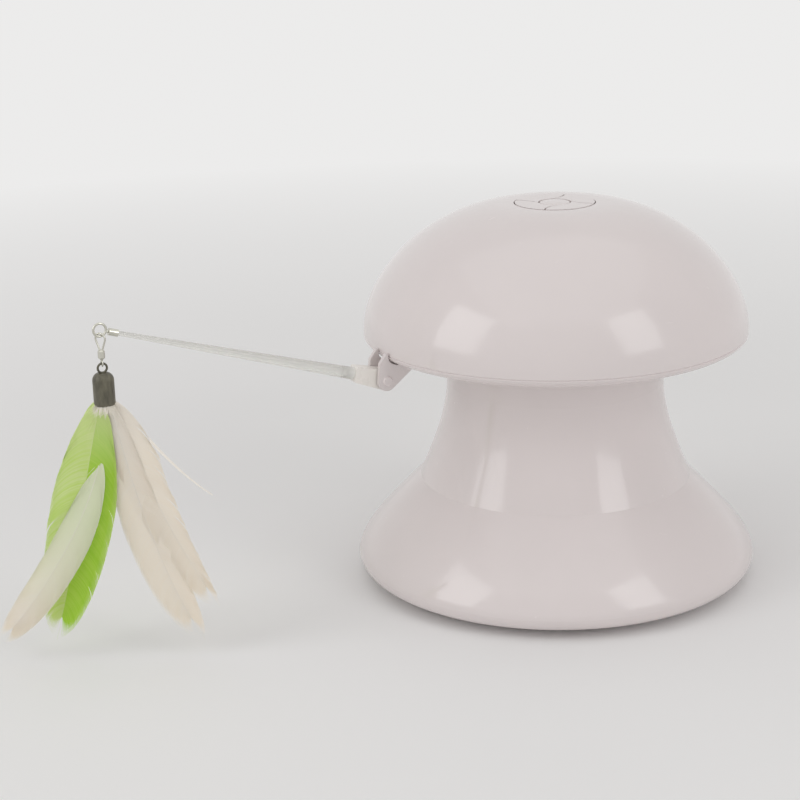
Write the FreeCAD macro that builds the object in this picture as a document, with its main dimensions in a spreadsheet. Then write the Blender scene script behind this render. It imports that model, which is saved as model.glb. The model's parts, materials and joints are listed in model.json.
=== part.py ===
import FreeCAD, Part
import math
import os
import Sketcher
from FreeCAD import Placement, Rotation, Vector

# Automatic cat laser toy: a bell-shaped pedestal carries a domed head that turns on a spindle.
# The head holds the laser nozzle on one side and, opposite it, a hinged wand with a feather lure.
# Millimetres, +Z up. The origin is the centre of the footprint on the floor; the wand points to -X,
# the laser to +X and the power inlet to +Y.

SIZES = {
    # Pedestal, outside
    "floor_gap": 1.2,
    "lip_radius": 74.2,
    "skirt_radius": 90.0,
    "skirt_edge_height": 10.0,
    "skirt_edge_round": 6.0,
    "skirt_edge_turn": 65.0,
    "skirt_hold": 8.5,
    "kink_radius": 61.0,
    "kink_height": 46.0,
    "kink_run": 7.5,
    "kink_drop": 8.1,
    "neck_run": 6.8,
    "neck_rise": 15.5,
    "waist_radius": 48.6,
    "waist_below_deck": 20.0,
    "waist_hold": 13.7,
    "collar_radius": 49.9,
    "collar_hold": 7.0,
    "collar_lean": 0.5,
    "wall": 2.4,
    "plate_gap": 0.3,
    "plate_thickness": 2.4,
    "post_ring_radius": 61.5,
    "post_radius": 4.0,
    "post_pilot": 14.0,
    "foot_ring_radius": 67.8,
    "foot_ring_width": 4.4,
    # Head, outside
    "rim_height": 108.8,
    "rim_band": 5.2,
    "dome_radius": 85.3,
    "dome_rise": 55.6,
    "dome_wall": 2.4,
    "dome_hold": 25.5,
    "crown_run": 34.9,
    "land_width": 1.0,
    "seam_below_widest": 1.0,
    "seam_chamfer": 0.35,
    "rim_flat_radius": 78.5,
    "dome_boss_ring": 68.0,
    "dome_boss_radius": 3.6,
    # Bearing and drive
    "deck_rise": 1.2,
    "neck_gap": 1.2,
    "mesh_room": 7.0,
    "spindle_radius": 7.0,
    "spindle_bore": 4.5,
    "bearing_fit": 0.05,
    "bush_wall": 1.95,
    "flange_radius": 12.5,
    "flange_thickness": 2.0,
    "flange_screw_inset": 2.7,
    "bush_flange": 1.5,
    "clip_play": 0.2,
    "clip_groove": 1.0,
    "clip_depth": 0.7,
    "clip_reach": 2.6,
    "spindle_beyond_clip": 1.0,
    "hub_wall": 3.0,
    "hub_rise": 9.0,
    "washer_thickness": 1.95,
    "gear_module": 1.2,
    "pressure_angle": 25.0,
    "gear_backlash": 0.12,
    "gear_width": 5.0,
    "gear_rim": 4.0,
    "pinion_overhang": 0.5,
    "stake_radius": 0.88,
    "shaft_radius": 2.0,
    "gearbox_radius": 13.2,
    "gearbox_depth": 14.0,
    "ear_reach": 3.4,
    "ear_half_width": 3.5,
    "ear_thickness": 2.0,
    "shaft_boss_wall": 1.2,
    "motor_radius": 10.0,
    "motor_flat": 7.7,
    "motor_length": 25.0,
    "slip_ring_radius": 8.0,
    "slip_ring_width": 3.0,
    "slip_core_length": 15.0,
    "slip_core_plug": 8.0,
    "slip_core_wall": 1.1,
    "slip_core_lip": 0.6,
    "slip_ring_gap": 2.0,
    "slip_ring_start": 3.0,
    "brush_gap": 1.0,
    "brush_preload": 0.3,
    # Power inlet and batteries
    "well_half_width": 6.5,
    "well_half_height": 4.0,
    "well_floor": 79.0,
    "well_wall": 1.8,
    "inlet_height": 11.2,
    "socket_width": 9.0,
    "socket_thickness": 3.2,
    "socket_length": 7.4,
    "battery_radius": 7.1,
    "battery_length": 50.0,
    "battery_pitch": 14.8,
    "bay_side_gap": 0.8,
    "bay_wall": 1.8,
    "contact_room": 3.4,
    "contact_thickness": 0.5,
    "contact_reach": 5.0,
    "cell_lift": 0.7,
    "door_thickness": 2.0,
    "door_overlap": 1.2,
    "door_tab": 9.0,
    "door_screw_reach": 5.2,
    "door_gap": 0.3,
    "door_boss_radius": 3.0,
    "door_screw_length": 6.0,
    "power_board_half_width": 11.0,
    "power_board_length": 14.0,
    "board_stand_radius": 2.2,
    # Keypad
    "keypad_radius": 17.5,
    "key_gap": 0.5,
    "key_proud": 0.4,
    "key_cap_height": 3.6,
    "centre_key_radius": 7.0,
    "stem_radius": 1.5,
    "stem_gap": 0.3,
    "key_travel": 0.6,
    "switch_height": 4.3,
    "frame_depth": 9.4,
    "frame_plate": 1.6,
    "stem_length": 10.6,
    "board_radius": 26.0,
    "board_thickness": 1.6,
    "leg_radius": 2.2,
    "leg_inset": 0.9,
    "frame_wall": 1.6,
    "frame_gap": 0.4,
    "switch_half": 3.0,
    "switch_case": 3.4,
    "plunger_radius": 1.7,
    "stem_outset": 0.5,
    "petal_lag": 28.0,
    # Laser
    "laser_reach": 91.0,
    "laser_below_rim": 8.9,
    "laser_tilt": 35.0,
    "nozzle_radius": 4.8,
    "nozzle_length": 22.0,
    "module_radius": 3.0,
    "module_length": 18.0,
    "module_recess": 2.6,
    "laser_aperture": 1.6,
    # Wand
    "pivot_reach": 86.2,
    "pivot_below_rim": 6.4,
    "wand_pitch": 17.45,
    "wand_fold": 50.0,
    "cheek_thickness": 2.1,
    "cheek_end_radius": 4.2,
    "cheek_slope": 38.0,
    "horn_gap": 0.35,
    "bracket_plate": 2.2,
    "bracket_wing": 12.5,
    "bracket_screw_inset": 11.0,
    "bracket_screw_side": 9.0,
    "pin_head": 0.7,
    "knuckle_radius": 4.4,
    "knuckle_room": 0.9,
    "side_gap": 0.3,
    "pin_radius": 1.3,
    "socket_block_end": 14.4,
    "socket_block_height": 6.6,
    "socket_block_width": 6.8,
    "socket_corner": 0.9,
    "rod_root_radius": 2.7,
    "rod_tip_radius": 0.9,
    "rod_length": 124.9,
    "rod_grip": 8.2,
    "ferrule_length": 4.0,
    "ferrule_end": 0.4,
    "stalk_length": 1.5,
    "ferrule_wall": 0.6,
    "eyelet_radius": 2.6,
    "eyelet_wire": 0.5,
    # Lure
    "snap_radius": 2.2,
    "snap_wire": 0.4,
    "link_gap": 0.3,
    "snap_length": 4.6,
    "snap_turn": 40.0,
    "barrel_radius": 1.45,
    "barrel_length": 3.7,
    "swivel_ring_radius": 1.1,
    "swivel_wire": 0.3,
    "shank_show": 0.7,
    "cap_eye_radius": 1.9,
    "cap_eye_wire": 0.45,
    "cap_radius": 4.35,
    "cap_length": 13.2,
    "cap_bore": 3.3,
    "feather_length": 97.0,
    "feather_thickness": 1.0,
    "quill_depth": 7.0,
    "fan_turn": 31.0,
    # Screws: radius of the shank, radius and height of the pan head
    "seat_gap": 0.4,
    "plate_screw_shank": 1.5,
    "plate_screw_head": 2.8,
    "plate_screw_height": 1.0,
    "door_screw_shank": 1.1,
    "door_screw_head": 2.6,
    "door_screw_height": 0.9,
    "spindle_screw_shank": 1.0,
    "spindle_screw_head": 1.8,
    "spindle_screw_height": 1.1,
    "gearbox_screw_shank": 1.2,
    "gearbox_screw_head": 2.3,
    "gearbox_screw_height": 1.2,
    "dome_screw_shank": 1.4,
    "dome_screw_head": 2.7,
    "dome_screw_height": 1.4,
    "board_screw_shank": 0.9,
    "board_screw_head": 1.7,
    "board_screw_height": 1.0,
    "bracket_screw_shank": 1.1,
    "bracket_screw_head": 2.1,
    "bracket_screw_height": 1.2,
}

RING_TEETH = 60
PINION_TEETH = 15
RUN_CLEAR = 0.1          # clearance of a screw or pin in its hole
HIDDEN = 100.0           # a length long enough to pass right through any wall it meets
OVERSHOOT = 1.0          # how far a cutting form stands out past the face it opens
DEGREES = 57.29578       # degrees in a radian
PIECES = {}


# ---------------------------------------------------------------------------------------------
# Sizes that carry their spreadsheet formula with them
# ---------------------------------------------------------------------------------------------

class Size:
    """A number and the spreadsheet formula that gives it."""

    def __init__(self, value, formula):
        self.value = float(value)
        self.formula = formula

    def __add__(self, other):
        return join(self, "+", other, self.value + size(other).value)

    def __sub__(self, other):
        return join(self, "-", other, self.value - size(other).value)

    def __mul__(self, other):
        return join(self, "*", other, self.value * size(other).value)

    def __truediv__(self, other):
        return join(self, "/", other, self.value / size(other).value)

    def __neg__(self):
        return size(0) - self

    def __radd__(self, other):
        return size(other) + self

    def __rsub__(self, other):
        return size(other) - self

    def __rmul__(self, other):
        return size(other) * self

    def __rtruediv__(self, other):
        return size(other) / self


def size(number):
    return number if isinstance(number, Size) else Size(number, repr(float(number)))


def join(left, sign, right, value):
    return Size(value, "(%s %s %s)" % (left.formula, sign, size(right).formula))


def call(name, argument, value):
    return Size(value, "%s(%s)" % (name, size(argument).formula))


def cos(degrees):
    return call("cos", degrees, math.cos(math.radians(size(degrees).value)))


def sin(degrees):
    return call("sin", degrees, math.sin(math.radians(size(degrees).value)))


def tan(degrees):
    return call("tan", degrees, math.tan(math.radians(size(degrees).value)))


def root(number):
    return call("sqrt", number, math.sqrt(size(number).value))


doc = FreeCAD.newDocument("CatLaserToy")
sheet = doc.addObject("Spreadsheet::Sheet", "Dims")


class Dimensions:
    """The driving dimensions, one attribute for each cell of the sheet."""


D = Dimensions()
for row, (alias, number) in enumerate(SIZES.items(), 1):
    sheet.set("A%d" % row, alias)
    sheet.set("B%d" % row, str(number))
    sheet.setAlias("B%d" % row, alias)
    setattr(D, alias, Size(number, "Dims." + alias))
doc.recompute()


# ---------------------------------------------------------------------------------------------
# Sketches
# ---------------------------------------------------------------------------------------------

class Arc:
    """A circular edge that turns left or right to the next corner; wide is over half a turn."""

    def __init__(self, radius, side="left", wide=False):
        self.radius = size(radius)
        self.side = side
        self.wide = wide


class Curve:
    """A cubic edge with two handles between this corner and the next."""

    def __init__(self, first, second):
        self.handles = (first, second)


def bind(thing, path, length):
    """Set a property from a size, and tie it to the sheet when the size has a formula."""
    thing.setExpression(path, size(length).formula)


def place(thing, x=0, y=0, z=0, axis=None, angle=0):
    """Move a piece, and turn it about an axis through its own origin."""
    turn_axis = axis or Vector(0, 0, 1)
    spot = Vector(size(x).value, size(y).value, size(z).value)
    thing.Placement = Placement(spot, Rotation(turn_axis, size(angle).value))
    for letter, length in (("x", x), ("y", y), ("z", z)):
        bind(thing, "Placement.Base." + letter, length)
    if isinstance(angle, Size):
        bind(thing, "Placement.Rotation.Angle", angle)
    return thing


def new_body(label):
    body = doc.addObject("PartDesign::Body", label)
    body.Label = label
    return body


def origin_feature(body, role):
    return [item for item in body.Origin.OriginFeatures if item.Role == role][0]


def new_sketch(body, name, role, shift=(0, 0, 0)):
    """A sketch on one of the body's origin planes, shifted by x and y in it and z off it."""
    sketch = body.newObject("Sketcher::SketchObject", name)
    sketch.AttachmentSupport = [(origin_feature(body, role), "")]
    sketch.MapMode = "FlatFace"
    for letter, length in zip("xyz", shift):
        bind(sketch, "AttachmentOffset.Base." + letter, length)
    return sketch


def pin_point(sketch, edge, end, x, y):
    """Fix one point of an edge at x, y from the sketch's origin."""
    for kind, length, axis in (("DistanceX", size(x), -2), ("DistanceY", size(y), -1)):
        if abs(length.value) < 1e-9:
            sketch.addConstraint(Sketcher.Constraint("PointOnObject", edge, end, axis))
            continue
        rule = Sketcher.Constraint(kind, -1, 1, edge, end, length.value)
        bind(sketch, "Constraints[%d]" % sketch.addConstraint(rule), length)


def arc_shape(start, end, arc):
    """The arc of a given radius from start to end, and whether it runs against the clock."""
    middle = (start + end) * 0.5
    half = (end - start) * 0.5
    reach = math.sqrt(max(arc.radius.value ** 2 - half.Length ** 2, 0.0))
    left = Vector(-half.y, half.x, 0).normalize()
    counter = arc.side == "left"
    centre = middle + left * (reach if counter != arc.wide else -reach)
    first, last = (start, end) if counter else (end, start)
    angles = [math.atan2(point.y - centre.y, point.x - centre.x) for point in (first, last)]
    circle = Part.Circle(centre, Vector(0, 0, 1), arc.radius.value)
    return Part.ArcOfCircle(circle, angles[0], angles[1]), counter


def add_curve(sketch, start, end, handles):
    """A cubic whose four poles are all fixed from the sheet; returns its edge number."""
    poles = [start] + [Vector(size(x).value, size(y).value, 0) for x, y in handles] + [end]
    curve = Part.BSplineCurve()
    curve.buildFromPolesMultsKnots(poles, [4, 4], [0, 1], False, 3)
    edge = sketch.addGeometry(curve, False)
    sketch.exposeInternalGeometry(edge)
    for number, (x, y) in enumerate(handles):
        pin_point(sketch, edge + 2 + number, 3, x, y)
    return edge


def outline(sketch, corners, closed=True):
    """Draw edges from corner to corner. A corner is (x, y) or (x, y, Arc or Curve to the next)."""
    spots = [Vector(size(corner[0]).value, size(corner[1]).value, 0) for corner in corners]
    count = len(corners) if closed else len(corners) - 1
    ends = []
    for number in range(count):
        start, end = spots[number], spots[(number + 1) % len(spots)]
        kind = corners[number][2] if len(corners[number]) > 2 else None
        first, last = 1, 2
        if isinstance(kind, Curve):
            edge = add_curve(sketch, start, end, kind.handles)
        elif isinstance(kind, Arc):
            shape, counter = arc_shape(start, end, kind)
            edge = sketch.addGeometry(shape, False)
            first, last = (1, 2) if counter else (2, 1)
            rule = Sketcher.Constraint("Radius", edge, kind.radius.value)
            bind(sketch, "Constraints[%d]" % sketch.addConstraint(rule), kind.radius)
        else:
            edge = sketch.addGeometry(Part.LineSegment(start, end), False)
        ends.append((edge, first, last))
    for number, (edge, first, last) in enumerate(ends):
        pin_point(sketch, edge, first, corners[number][0], corners[number][1])
        if closed or number + 1 < count:
            after = ends[(number + 1) % count]
            sketch.addConstraint(Sketcher.Constraint("Coincident", edge, last, after[0], after[1]))
        else:
            pin_point(sketch, edge, last, corners[-1][0], corners[-1][1])
    return sketch


def circle(sketch, x, y, radius):
    spot = Vector(size(x).value, size(y).value, 0)
    edge = sketch.addGeometry(Part.Circle(spot, Vector(0, 0, 1), size(radius).value), False)
    pin_point(sketch, edge, 3, x, y)
    rule = Sketcher.Constraint("Radius", edge, size(radius).value)
    bind(sketch, "Constraints[%d]" % sketch.addConstraint(rule), radius)
    return sketch


def rectangle(sketch, x_low, x_high, y_low, y_high):
    return outline(sketch, [(x_low, y_low), (x_high, y_low), (x_high, y_high), (x_low, y_high)])


# ---------------------------------------------------------------------------------------------
# Features
# ---------------------------------------------------------------------------------------------

def turn(body, sketch, kind="PartDesign::Revolution"):
    feature = body.newObject(kind, sketch.Name + "_turned")
    feature.Profile = sketch
    feature.ReferenceAxis = (sketch, ["V_Axis"])
    feature.Angle = 360
    return feature


def raise_up(body, sketch, length, both=False, back=False, kind="PartDesign::Pad"):
    """Pad or pocket a sketch; a pad grows along the sketch's normal and a pocket goes against it."""
    feature = body.newObject(kind, sketch.Name + "_raised")
    feature.Profile = sketch
    feature.Midplane = both
    feature.Reversed = back
    bind(feature, "Length", length)
    return feature


def cut_in(body, sketch, length=HIDDEN, both=False, back=False):
    return raise_up(body, sketch, length, both, back, "PartDesign::Pocket")


def around(body, features, count):
    """Repeat features round the body's own Z axis."""
    pattern = body.newObject("PartDesign::PolarPattern", body.Name + "_ring")
    pattern.Originals = features
    pattern.Axis = (origin_feature(body, "Z_Axis"), [""])
    pattern.Angle = 360
    pattern.Occurrences = count
    body.Tip = pattern
    return pattern


def turned(label, corners, shift=(0, 0, 0)):
    """A body turned about Z from an outline in radius and height."""
    body = new_body(label)
    turn(body, outline(new_sketch(body, label + "_profile", "XZ_Plane", shift), corners))
    return body


def tube(label, inner, outer, low, high):
    """A plain ring or sleeve about Z."""
    return turned(label, [(inner, low), (outer, low), (outer, high), (inner, high)])


def rod(label, radius, low, high):
    """A plain round rod about Z."""
    return turned(label, [(0, low), (radius, low), (radius, high), (0, high)])


def block(label, x_low, x_high, y_low, y_high, z_low, z_high):
    """A plain rectangular block."""
    piece = doc.addObject("Part::Box", label)
    piece.Label = label
    bind(piece, "Length", size(x_high) - x_low)
    bind(piece, "Width", size(y_high) - y_low)
    bind(piece, "Height", size(z_high) - z_low)
    return place(piece, x_low, y_low, z_low)


def bar(label, radius, length, x=0, y=0, z=0, axis=None, angle=0):
    """A plain cylinder that starts at a point and runs along its own turned Z axis."""
    piece = doc.addObject("Part::Cylinder", label)
    piece.Label = label
    bind(piece, "Radius", radius)
    bind(piece, "Height", length)
    return place(piece, x, y, z, axis, angle)


def torus(label, radius, wire, x=0, y=0, z=0, axis=None, angle=0):
    piece = doc.addObject("Part::Torus", label)
    piece.Label = label
    bind(piece, "Radius1", radius)
    bind(piece, "Radius2", wire)
    return place(piece, x, y, z, axis, angle)


def cut(label, base, tool):
    piece = doc.addObject("Part::Cut", label)
    piece.Label = label
    piece.Base = base
    piece.Tool = tool
    return piece


def fuse(label, *shapes):
    piece = doc.addObject("Part::MultiFuse", label)
    piece.Label = label
    piece.Shapes = list(shapes)
    return piece


def group(label, *shapes):
    """Separate solids that share one node."""
    piece = doc.addObject("Part::Compound", label)
    piece.Label = label
    piece.Links = list(shapes)
    return piece


def keep(piece):
    """Mark a finished sub-part; its label names its file."""
    PIECES[piece.Label] = piece
    return piece


class Screw:
    """A pan-head screw that points up; the holes and seats it needs take their sizes from it."""

    def __init__(self, name):
        self.shank = getattr(D, name + "_screw_shank")
        self.head = getattr(D, name + "_screw_head")
        self.height = getattr(D, name + "_screw_height")
        self.hole = self.shank + RUN_CLEAR
        self.seat = self.head + D.seat_gap

    def profile(self, seat, top):
        """Head below the level of its seat, shank up to the top, and a recess for the driver."""
        low = seat - self.height
        bevel = self.height * 0.35
        return [
            (0, low + bevel), (self.head * 0.3, low + bevel), (self.head * 0.5, low),
            (self.head - bevel, low), (self.head, low + bevel), (self.head, seat), (self.shank, seat),
            (self.shank, top - self.shank), (self.shank * 0.4, top), (0, top),
        ]


def screws(label, ring_radius, count, first_angle, profile):
    """A ring of identical screws, each turned about its own axis."""
    body = turned(label, profile, (ring_radius, 0, 0))
    around(body, [body.Tip], count)
    return place(body, angle=size(first_angle))


# ---------------------------------------------------------------------------------------------
# Levels and places that several sub-parts share
# ---------------------------------------------------------------------------------------------

PLATE_SCREW = Screw("plate")
DOOR_SCREW = Screw("door")
SPINDLE_SCREW = Screw("spindle")
GEARBOX_SCREW = Screw("gearbox")
DOME_SCREW = Screw("dome")
BOARD_SCREW = Screw("board")
BRACKET_SCREW = Screw("bracket")
PLATE_TOP = D.floor_gap + D.plate_thickness
PLATE_RADIUS = D.lip_radius - D.wall - D.plate_gap
DECK_TOP = D.rim_height + D.deck_rise
DECK_UNDER = DECK_TOP - D.wall
NECK_HOLE = D.collar_radius + D.neck_gap
PLATFORM_UNDER = DECK_TOP + D.mesh_room
PLATFORM_TOP = PLATFORM_UNDER + D.dome_wall
BUSH_BOTTOM = DECK_TOP + D.washer_thickness + D.bearing_fit
HUB_BOTTOM = BUSH_BOTTOM + D.bush_flange
HUB_TOP = PLATFORM_UNDER + D.hub_rise
BUSH_RADIUS = D.spindle_radius + D.bearing_fit + D.bush_wall
HUB_RADIUS = BUSH_RADIUS + D.hub_wall
CLIP_LOW = HUB_TOP + D.clip_play
SPINDLE_TOP = CLIP_LOW + D.clip_groove + D.spindle_beyond_clip
WIDEST = D.rim_height + D.rim_band
SEAM = WIDEST - D.seam_below_widest
LAND = WIDEST + D.dome_rise
LAND_RADIUS = D.keypad_radius + D.key_gap + D.land_width
LASER_Z = D.rim_height - D.laser_below_rim
PIVOT_Z = D.rim_height - D.pivot_below_rim
FLOOR_TOP = D.rim_height + D.dome_wall
KEY_TOP = LAND + D.key_proud
KEY_UNDER = KEY_TOP - D.key_cap_height
FRAME_FLOOR_TOP = LAND - D.frame_depth
FRAME_FLOOR_UNDER = FRAME_FLOOR_TOP - D.frame_plate
STEM_END = KEY_UNDER - D.stem_length
BOARD_TOP = STEM_END - D.key_travel - D.stem_gap - D.switch_height
BOARD_UNDER = BOARD_TOP - D.board_thickness
GEAR_BOTTOM = PLATFORM_UNDER - D.gear_width
PINION_BOTTOM = GEAR_BOTTOM - D.pinion_overhang
CENTRE_DISTANCE = D.gear_module * (RING_TEETH - PINION_TEETH) / 2
GEARBOX_UNDER = DECK_UNDER - D.gearbox_depth
STAKE_RING = D.gear_module * RING_TEETH / 2 + 1.25 * D.gear_module + D.gear_rim * 0.55
BAY_HALF_X = D.battery_pitch + D.battery_radius + D.bay_side_gap
BAY_HALF_Y = D.battery_length / 2 + D.contact_room
CELL_AXIS = PLATE_TOP + D.battery_radius + D.cell_lift
BAY_TOP = CELL_AXIS + D.battery_radius + D.cell_lift
DOOR_SCREW_Y = BAY_HALF_Y + D.door_screw_reach
POWER_BOARD_UNDER = D.inlet_height - D.socket_thickness / 2 - D.board_thickness
EAR_OFFSET = D.gearbox_radius + D.ear_reach
FLANGE_SCREW_RING = D.flange_radius - D.flange_screw_inset
FOOT_INNER = D.foot_ring_radius - D.foot_ring_width / 2
FOOT_OUTER = D.foot_ring_radius + D.foot_ring_width / 2
STEM_RING = (D.centre_key_radius + D.keypad_radius) / 2 + D.stem_outset
LEG_RING = D.keypad_radius + D.key_gap - D.leg_inset
BRACKET_SCREW_REACH = D.rim_flat_radius - D.bracket_screw_inset
HALF_SLOT = D.socket_block_width / 2 + D.side_gap
HALF_BRACKET = HALF_SLOT + D.cheek_thickness
Y_AXIS = Vector(0, 1, 0)
X_AXIS = Vector(1, 0, 0)
DIAGONAL = 45.0          # screws and posts stand on the diagonals, clear of inlet, wand and laser
THIRD = 60.0             # the three flange screws start here
PLATE_SEAT_DEPTH = 1.3
DOOR_SEAT_DEPTH = 1.1
DOME_SEAT_DEPTH = 2.2


# ---------------------------------------------------------------------------------------------
# Pedestal
# ---------------------------------------------------------------------------------------------

def bell(inset, top):
    """Corners of the bell from its widest line up to its collar, drawn one inset further in."""
    waist = DECK_TOP - D.waist_below_deck
    skirt = Curve((D.skirt_radius - inset, D.skirt_edge_height + D.skirt_hold - 0.2 * inset),
                  (D.kink_radius + D.kink_run - 0.7 * inset, D.kink_height - D.kink_drop - 0.7 * inset))
    neck = Curve((D.kink_radius - D.neck_run - inset, D.kink_height + D.neck_rise - 0.2 * inset),
                 (D.waist_radius - inset, waist - D.waist_hold))
    collar = Curve((D.waist_radius - inset, waist + D.collar_hold - 0.4 * inset),
                   (D.collar_radius - D.collar_lean - inset, top - D.collar_hold + 0.4 * inset))
    return [
        (D.skirt_radius - inset, D.skirt_edge_height, skirt),
        (D.kink_radius - 0.85 * inset, D.kink_height - 0.6 * inset, neck),
        (D.waist_radius - inset, waist, collar),
        (D.collar_radius - inset, top),
        (0, top),
    ]


def pedestal_outside():
    """Bell form: a rounded foot edge, a convex skirt, a clear kink and a concave neck."""
    edge = D.skirt_edge_round
    foot_x = D.skirt_radius - edge + edge * cos(D.skirt_edge_turn)
    foot_z = D.skirt_edge_height - edge * sin(D.skirt_edge_turn)
    foot = [(0, D.floor_gap), (D.lip_radius, D.floor_gap), (foot_x, foot_z, Arc(edge))]
    return turned("pedestal_form", foot + bell(size(0), DECK_TOP))


def pedestal_inside():
    """The hollow: the outside drawn again one wall further in, open at the bottom."""
    mouth = D.lip_radius - D.wall
    below = D.floor_gap - OVERSHOOT
    shoulder = (D.skirt_radius - 3.5 * D.wall, D.skirt_edge_height - 1.4 * D.wall)
    foot = [(0, below), (mouth, below), (mouth, PLATE_TOP + 0.4), shoulder]
    return turned("pedestal_hollow", foot + bell(D.wall, DECK_UNDER))


def ring_of_rods(label, ring_radius, count, radius, low, high, first_angle):
    """Round posts or round holes on a ring."""
    body = new_body(label)
    sketch = circle(new_sketch(body, label + "_circle", "XY_Plane", (0, 0, low)), ring_radius, 0, radius)
    around(body, [raise_up(body, sketch, size(high) - low)], count)
    return place(body, angle=size(first_angle))


def box_about(label, half_x, y_low, y_high, half_z):
    """A block centred on the power inlet's own line."""
    z = D.inlet_height
    return block(label, -half_x, half_x, y_low, y_high, z - half_z, z + half_z)


def pedestal_holes():
    """The inlet well and its port, and the holes for every screw, the spindle and the shaft."""
    port_gap = 0.3
    well = box_about("well", D.well_half_width, D.well_floor, D.skirt_radius + 5, D.well_half_height)
    port = box_about("well_port", D.socket_width / 2 + port_gap, D.well_floor - D.well_wall - OVERSHOOT,
                     D.well_floor + OVERSHOOT, D.socket_thickness / 2 + port_gap)
    pilots = ring_of_rods("post_pilots", D.post_ring_radius, 4, PLATE_SCREW.hole, PLATE_TOP,
                          PLATE_TOP + D.post_pilot, DIAGONAL)
    deck_depth = D.wall + 2 * OVERSHOOT
    spindle_hole = bar("spindle_hole", D.spindle_radius + RUN_CLEAR, deck_depth, z=DECK_UNDER - OVERSHOOT)
    shaft_hole = bar("shaft_hole", D.shaft_radius + D.shaft_boss_wall + 0.3, deck_depth, CENTRE_DISTANCE, 0,
                     DECK_UNDER - OVERSHOOT)
    flange_pilots = ring_of_rods("flange_pilots", FLANGE_SCREW_RING, 3, SPINDLE_SCREW.hole,
                                 DECK_UNDER - OVERSHOOT, DECK_TOP - 0.4, THIRD)
    ear_pilots = [bar("ear_pilot_%d" % side, GEARBOX_SCREW.hole, D.wall - 0.4, CENTRE_DISTANCE,
                      side * EAR_OFFSET, DECK_UNDER) for side in (1, -1)]
    return fuse("pedestal_holes", well, port, pilots, spindle_hole, shaft_hole, flange_pilots, *ear_pilots)


def pedestal_shell():
    """Moulded bell with screw posts, an inlet well at the back and a deck that carries the drive."""
    posts = ring_of_rods("pedestal_posts", D.post_ring_radius, 4, D.post_radius,
                         PLATE_TOP, D.kink_height, DIAGONAL)
    well_block = box_about("well_block", D.well_half_width + D.well_wall, D.well_floor - D.well_wall,
                           D.skirt_radius, D.well_half_height + D.well_wall)
    forms = fuse("pedestal_inner_forms", posts, well_block)
    hollow = cut("pedestal_hollow_with_posts", pedestal_inside(), forms)
    bell_wall = cut("pedestal_bell", pedestal_outside(), hollow)
    keep(cut("pedestal_shell", bell_wall, pedestal_holes()))


def door_span(extra=0):
    """The hatch overlaps the bay all round, with a wider tab at +Y for its screw."""
    side = BAY_HALF_X + D.door_overlap + extra
    return -side, side, -BAY_HALF_Y - D.door_overlap - extra, BAY_HALF_Y + D.door_tab + extra


def plate_sketch(body, name):
    return new_sketch(body, name, "XY_Plane", (0, 0, D.floor_gap))


def battery_bay(body):
    """Box for the cells, its mouth for the hatch, and the boss that takes the hatch's screw."""
    out_x = BAY_HALF_X + D.bay_wall
    out_y = BAY_HALF_Y + D.bay_wall
    bay = rectangle(plate_sketch(body, "bay_block"), -out_x, out_x, -out_y, out_y)
    raise_up(body, bay, BAY_TOP + D.bay_wall - D.floor_gap)
    room = rectangle(plate_sketch(body, "bay_room"), -BAY_HALF_X, BAY_HALF_X, -BAY_HALF_Y, BAY_HALF_Y)
    cut_in(body, room, BAY_TOP - D.floor_gap, back=True)
    pilot_depth = DOOR_SEAT_DEPTH + D.door_screw_length + 0.4
    boss = circle(plate_sketch(body, "door_boss"), 0, DOOR_SCREW_Y, D.door_boss_radius)
    raise_up(body, boss, pilot_depth + D.bay_wall)
    seat = rectangle(plate_sketch(body, "door_seat"), *door_span(D.door_gap))
    cut_in(body, seat, D.door_thickness, back=True)
    pilot = circle(plate_sketch(body, "door_pilot"), 0, DOOR_SCREW_Y, DOOR_SCREW.hole)
    cut_in(body, pilot, pilot_depth, back=True)


def base_plate():
    """Round floor plate with the battery bay standing on it and seats for screws and the foot ring."""
    body = new_body("base_plate")
    raise_up(body, circle(plate_sketch(body, "plate_disc"), 0, 0, PLATE_RADIUS), D.plate_thickness)
    battery_bay(body)
    for number, side in enumerate((1, -1)):
        stand = circle(plate_sketch(body, "board_stand_%d" % number), side * D.power_board_half_width * 0.7,
                       D.well_floor - D.power_board_length + OVERSHOOT, D.board_stand_radius)
        raise_up(body, stand, POWER_BOARD_UNDER - D.floor_gap)
    spot = D.post_ring_radius * cos(DIAGONAL)
    head_seat = circle(plate_sketch(body, "head_seat"), spot, spot, PLATE_SCREW.seat)
    shank_hole = circle(plate_sketch(body, "shank_hole"), spot, spot, PLATE_SCREW.hole)
    seat_cut = cut_in(body, head_seat, PLATE_SEAT_DEPTH, back=True)
    around(body, [seat_cut, cut_in(body, shank_hole, D.plate_thickness, back=True)], 4)
    foot_seat = circle(plate_sketch(body, "foot_seat"), 0, 0, FOOT_OUTER + RUN_CLEAR)
    circle(foot_seat, 0, 0, FOOT_INNER - RUN_CLEAR)
    cut_in(body, foot_seat, D.plate_thickness / 2, back=True)
    keep(body)


def rubber_foot_ring():
    """Soft ring let into the plate, rounded where it meets the floor."""
    top = D.floor_gap + D.plate_thickness / 2
    edge = size(0.8)
    keep(turned("rubber_foot_ring", [
        (FOOT_INNER, edge, Arc(edge)), (FOOT_INNER + edge, 0), (FOOT_OUTER - edge, 0, Arc(edge)),
        (FOOT_OUTER, edge), (FOOT_OUTER, top), (FOOT_INNER, top),
    ]))


def base_screws():
    profile = PLATE_SCREW.profile(D.floor_gap + PLATE_SEAT_DEPTH, PLATE_TOP + D.post_pilot - 3)
    keep(screws("base_plate_screws", D.post_ring_radius, 4, DIAGONAL, profile))


# ---------------------------------------------------------------------------------------------
# Batteries and power inlet
# ---------------------------------------------------------------------------------------------

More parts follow.
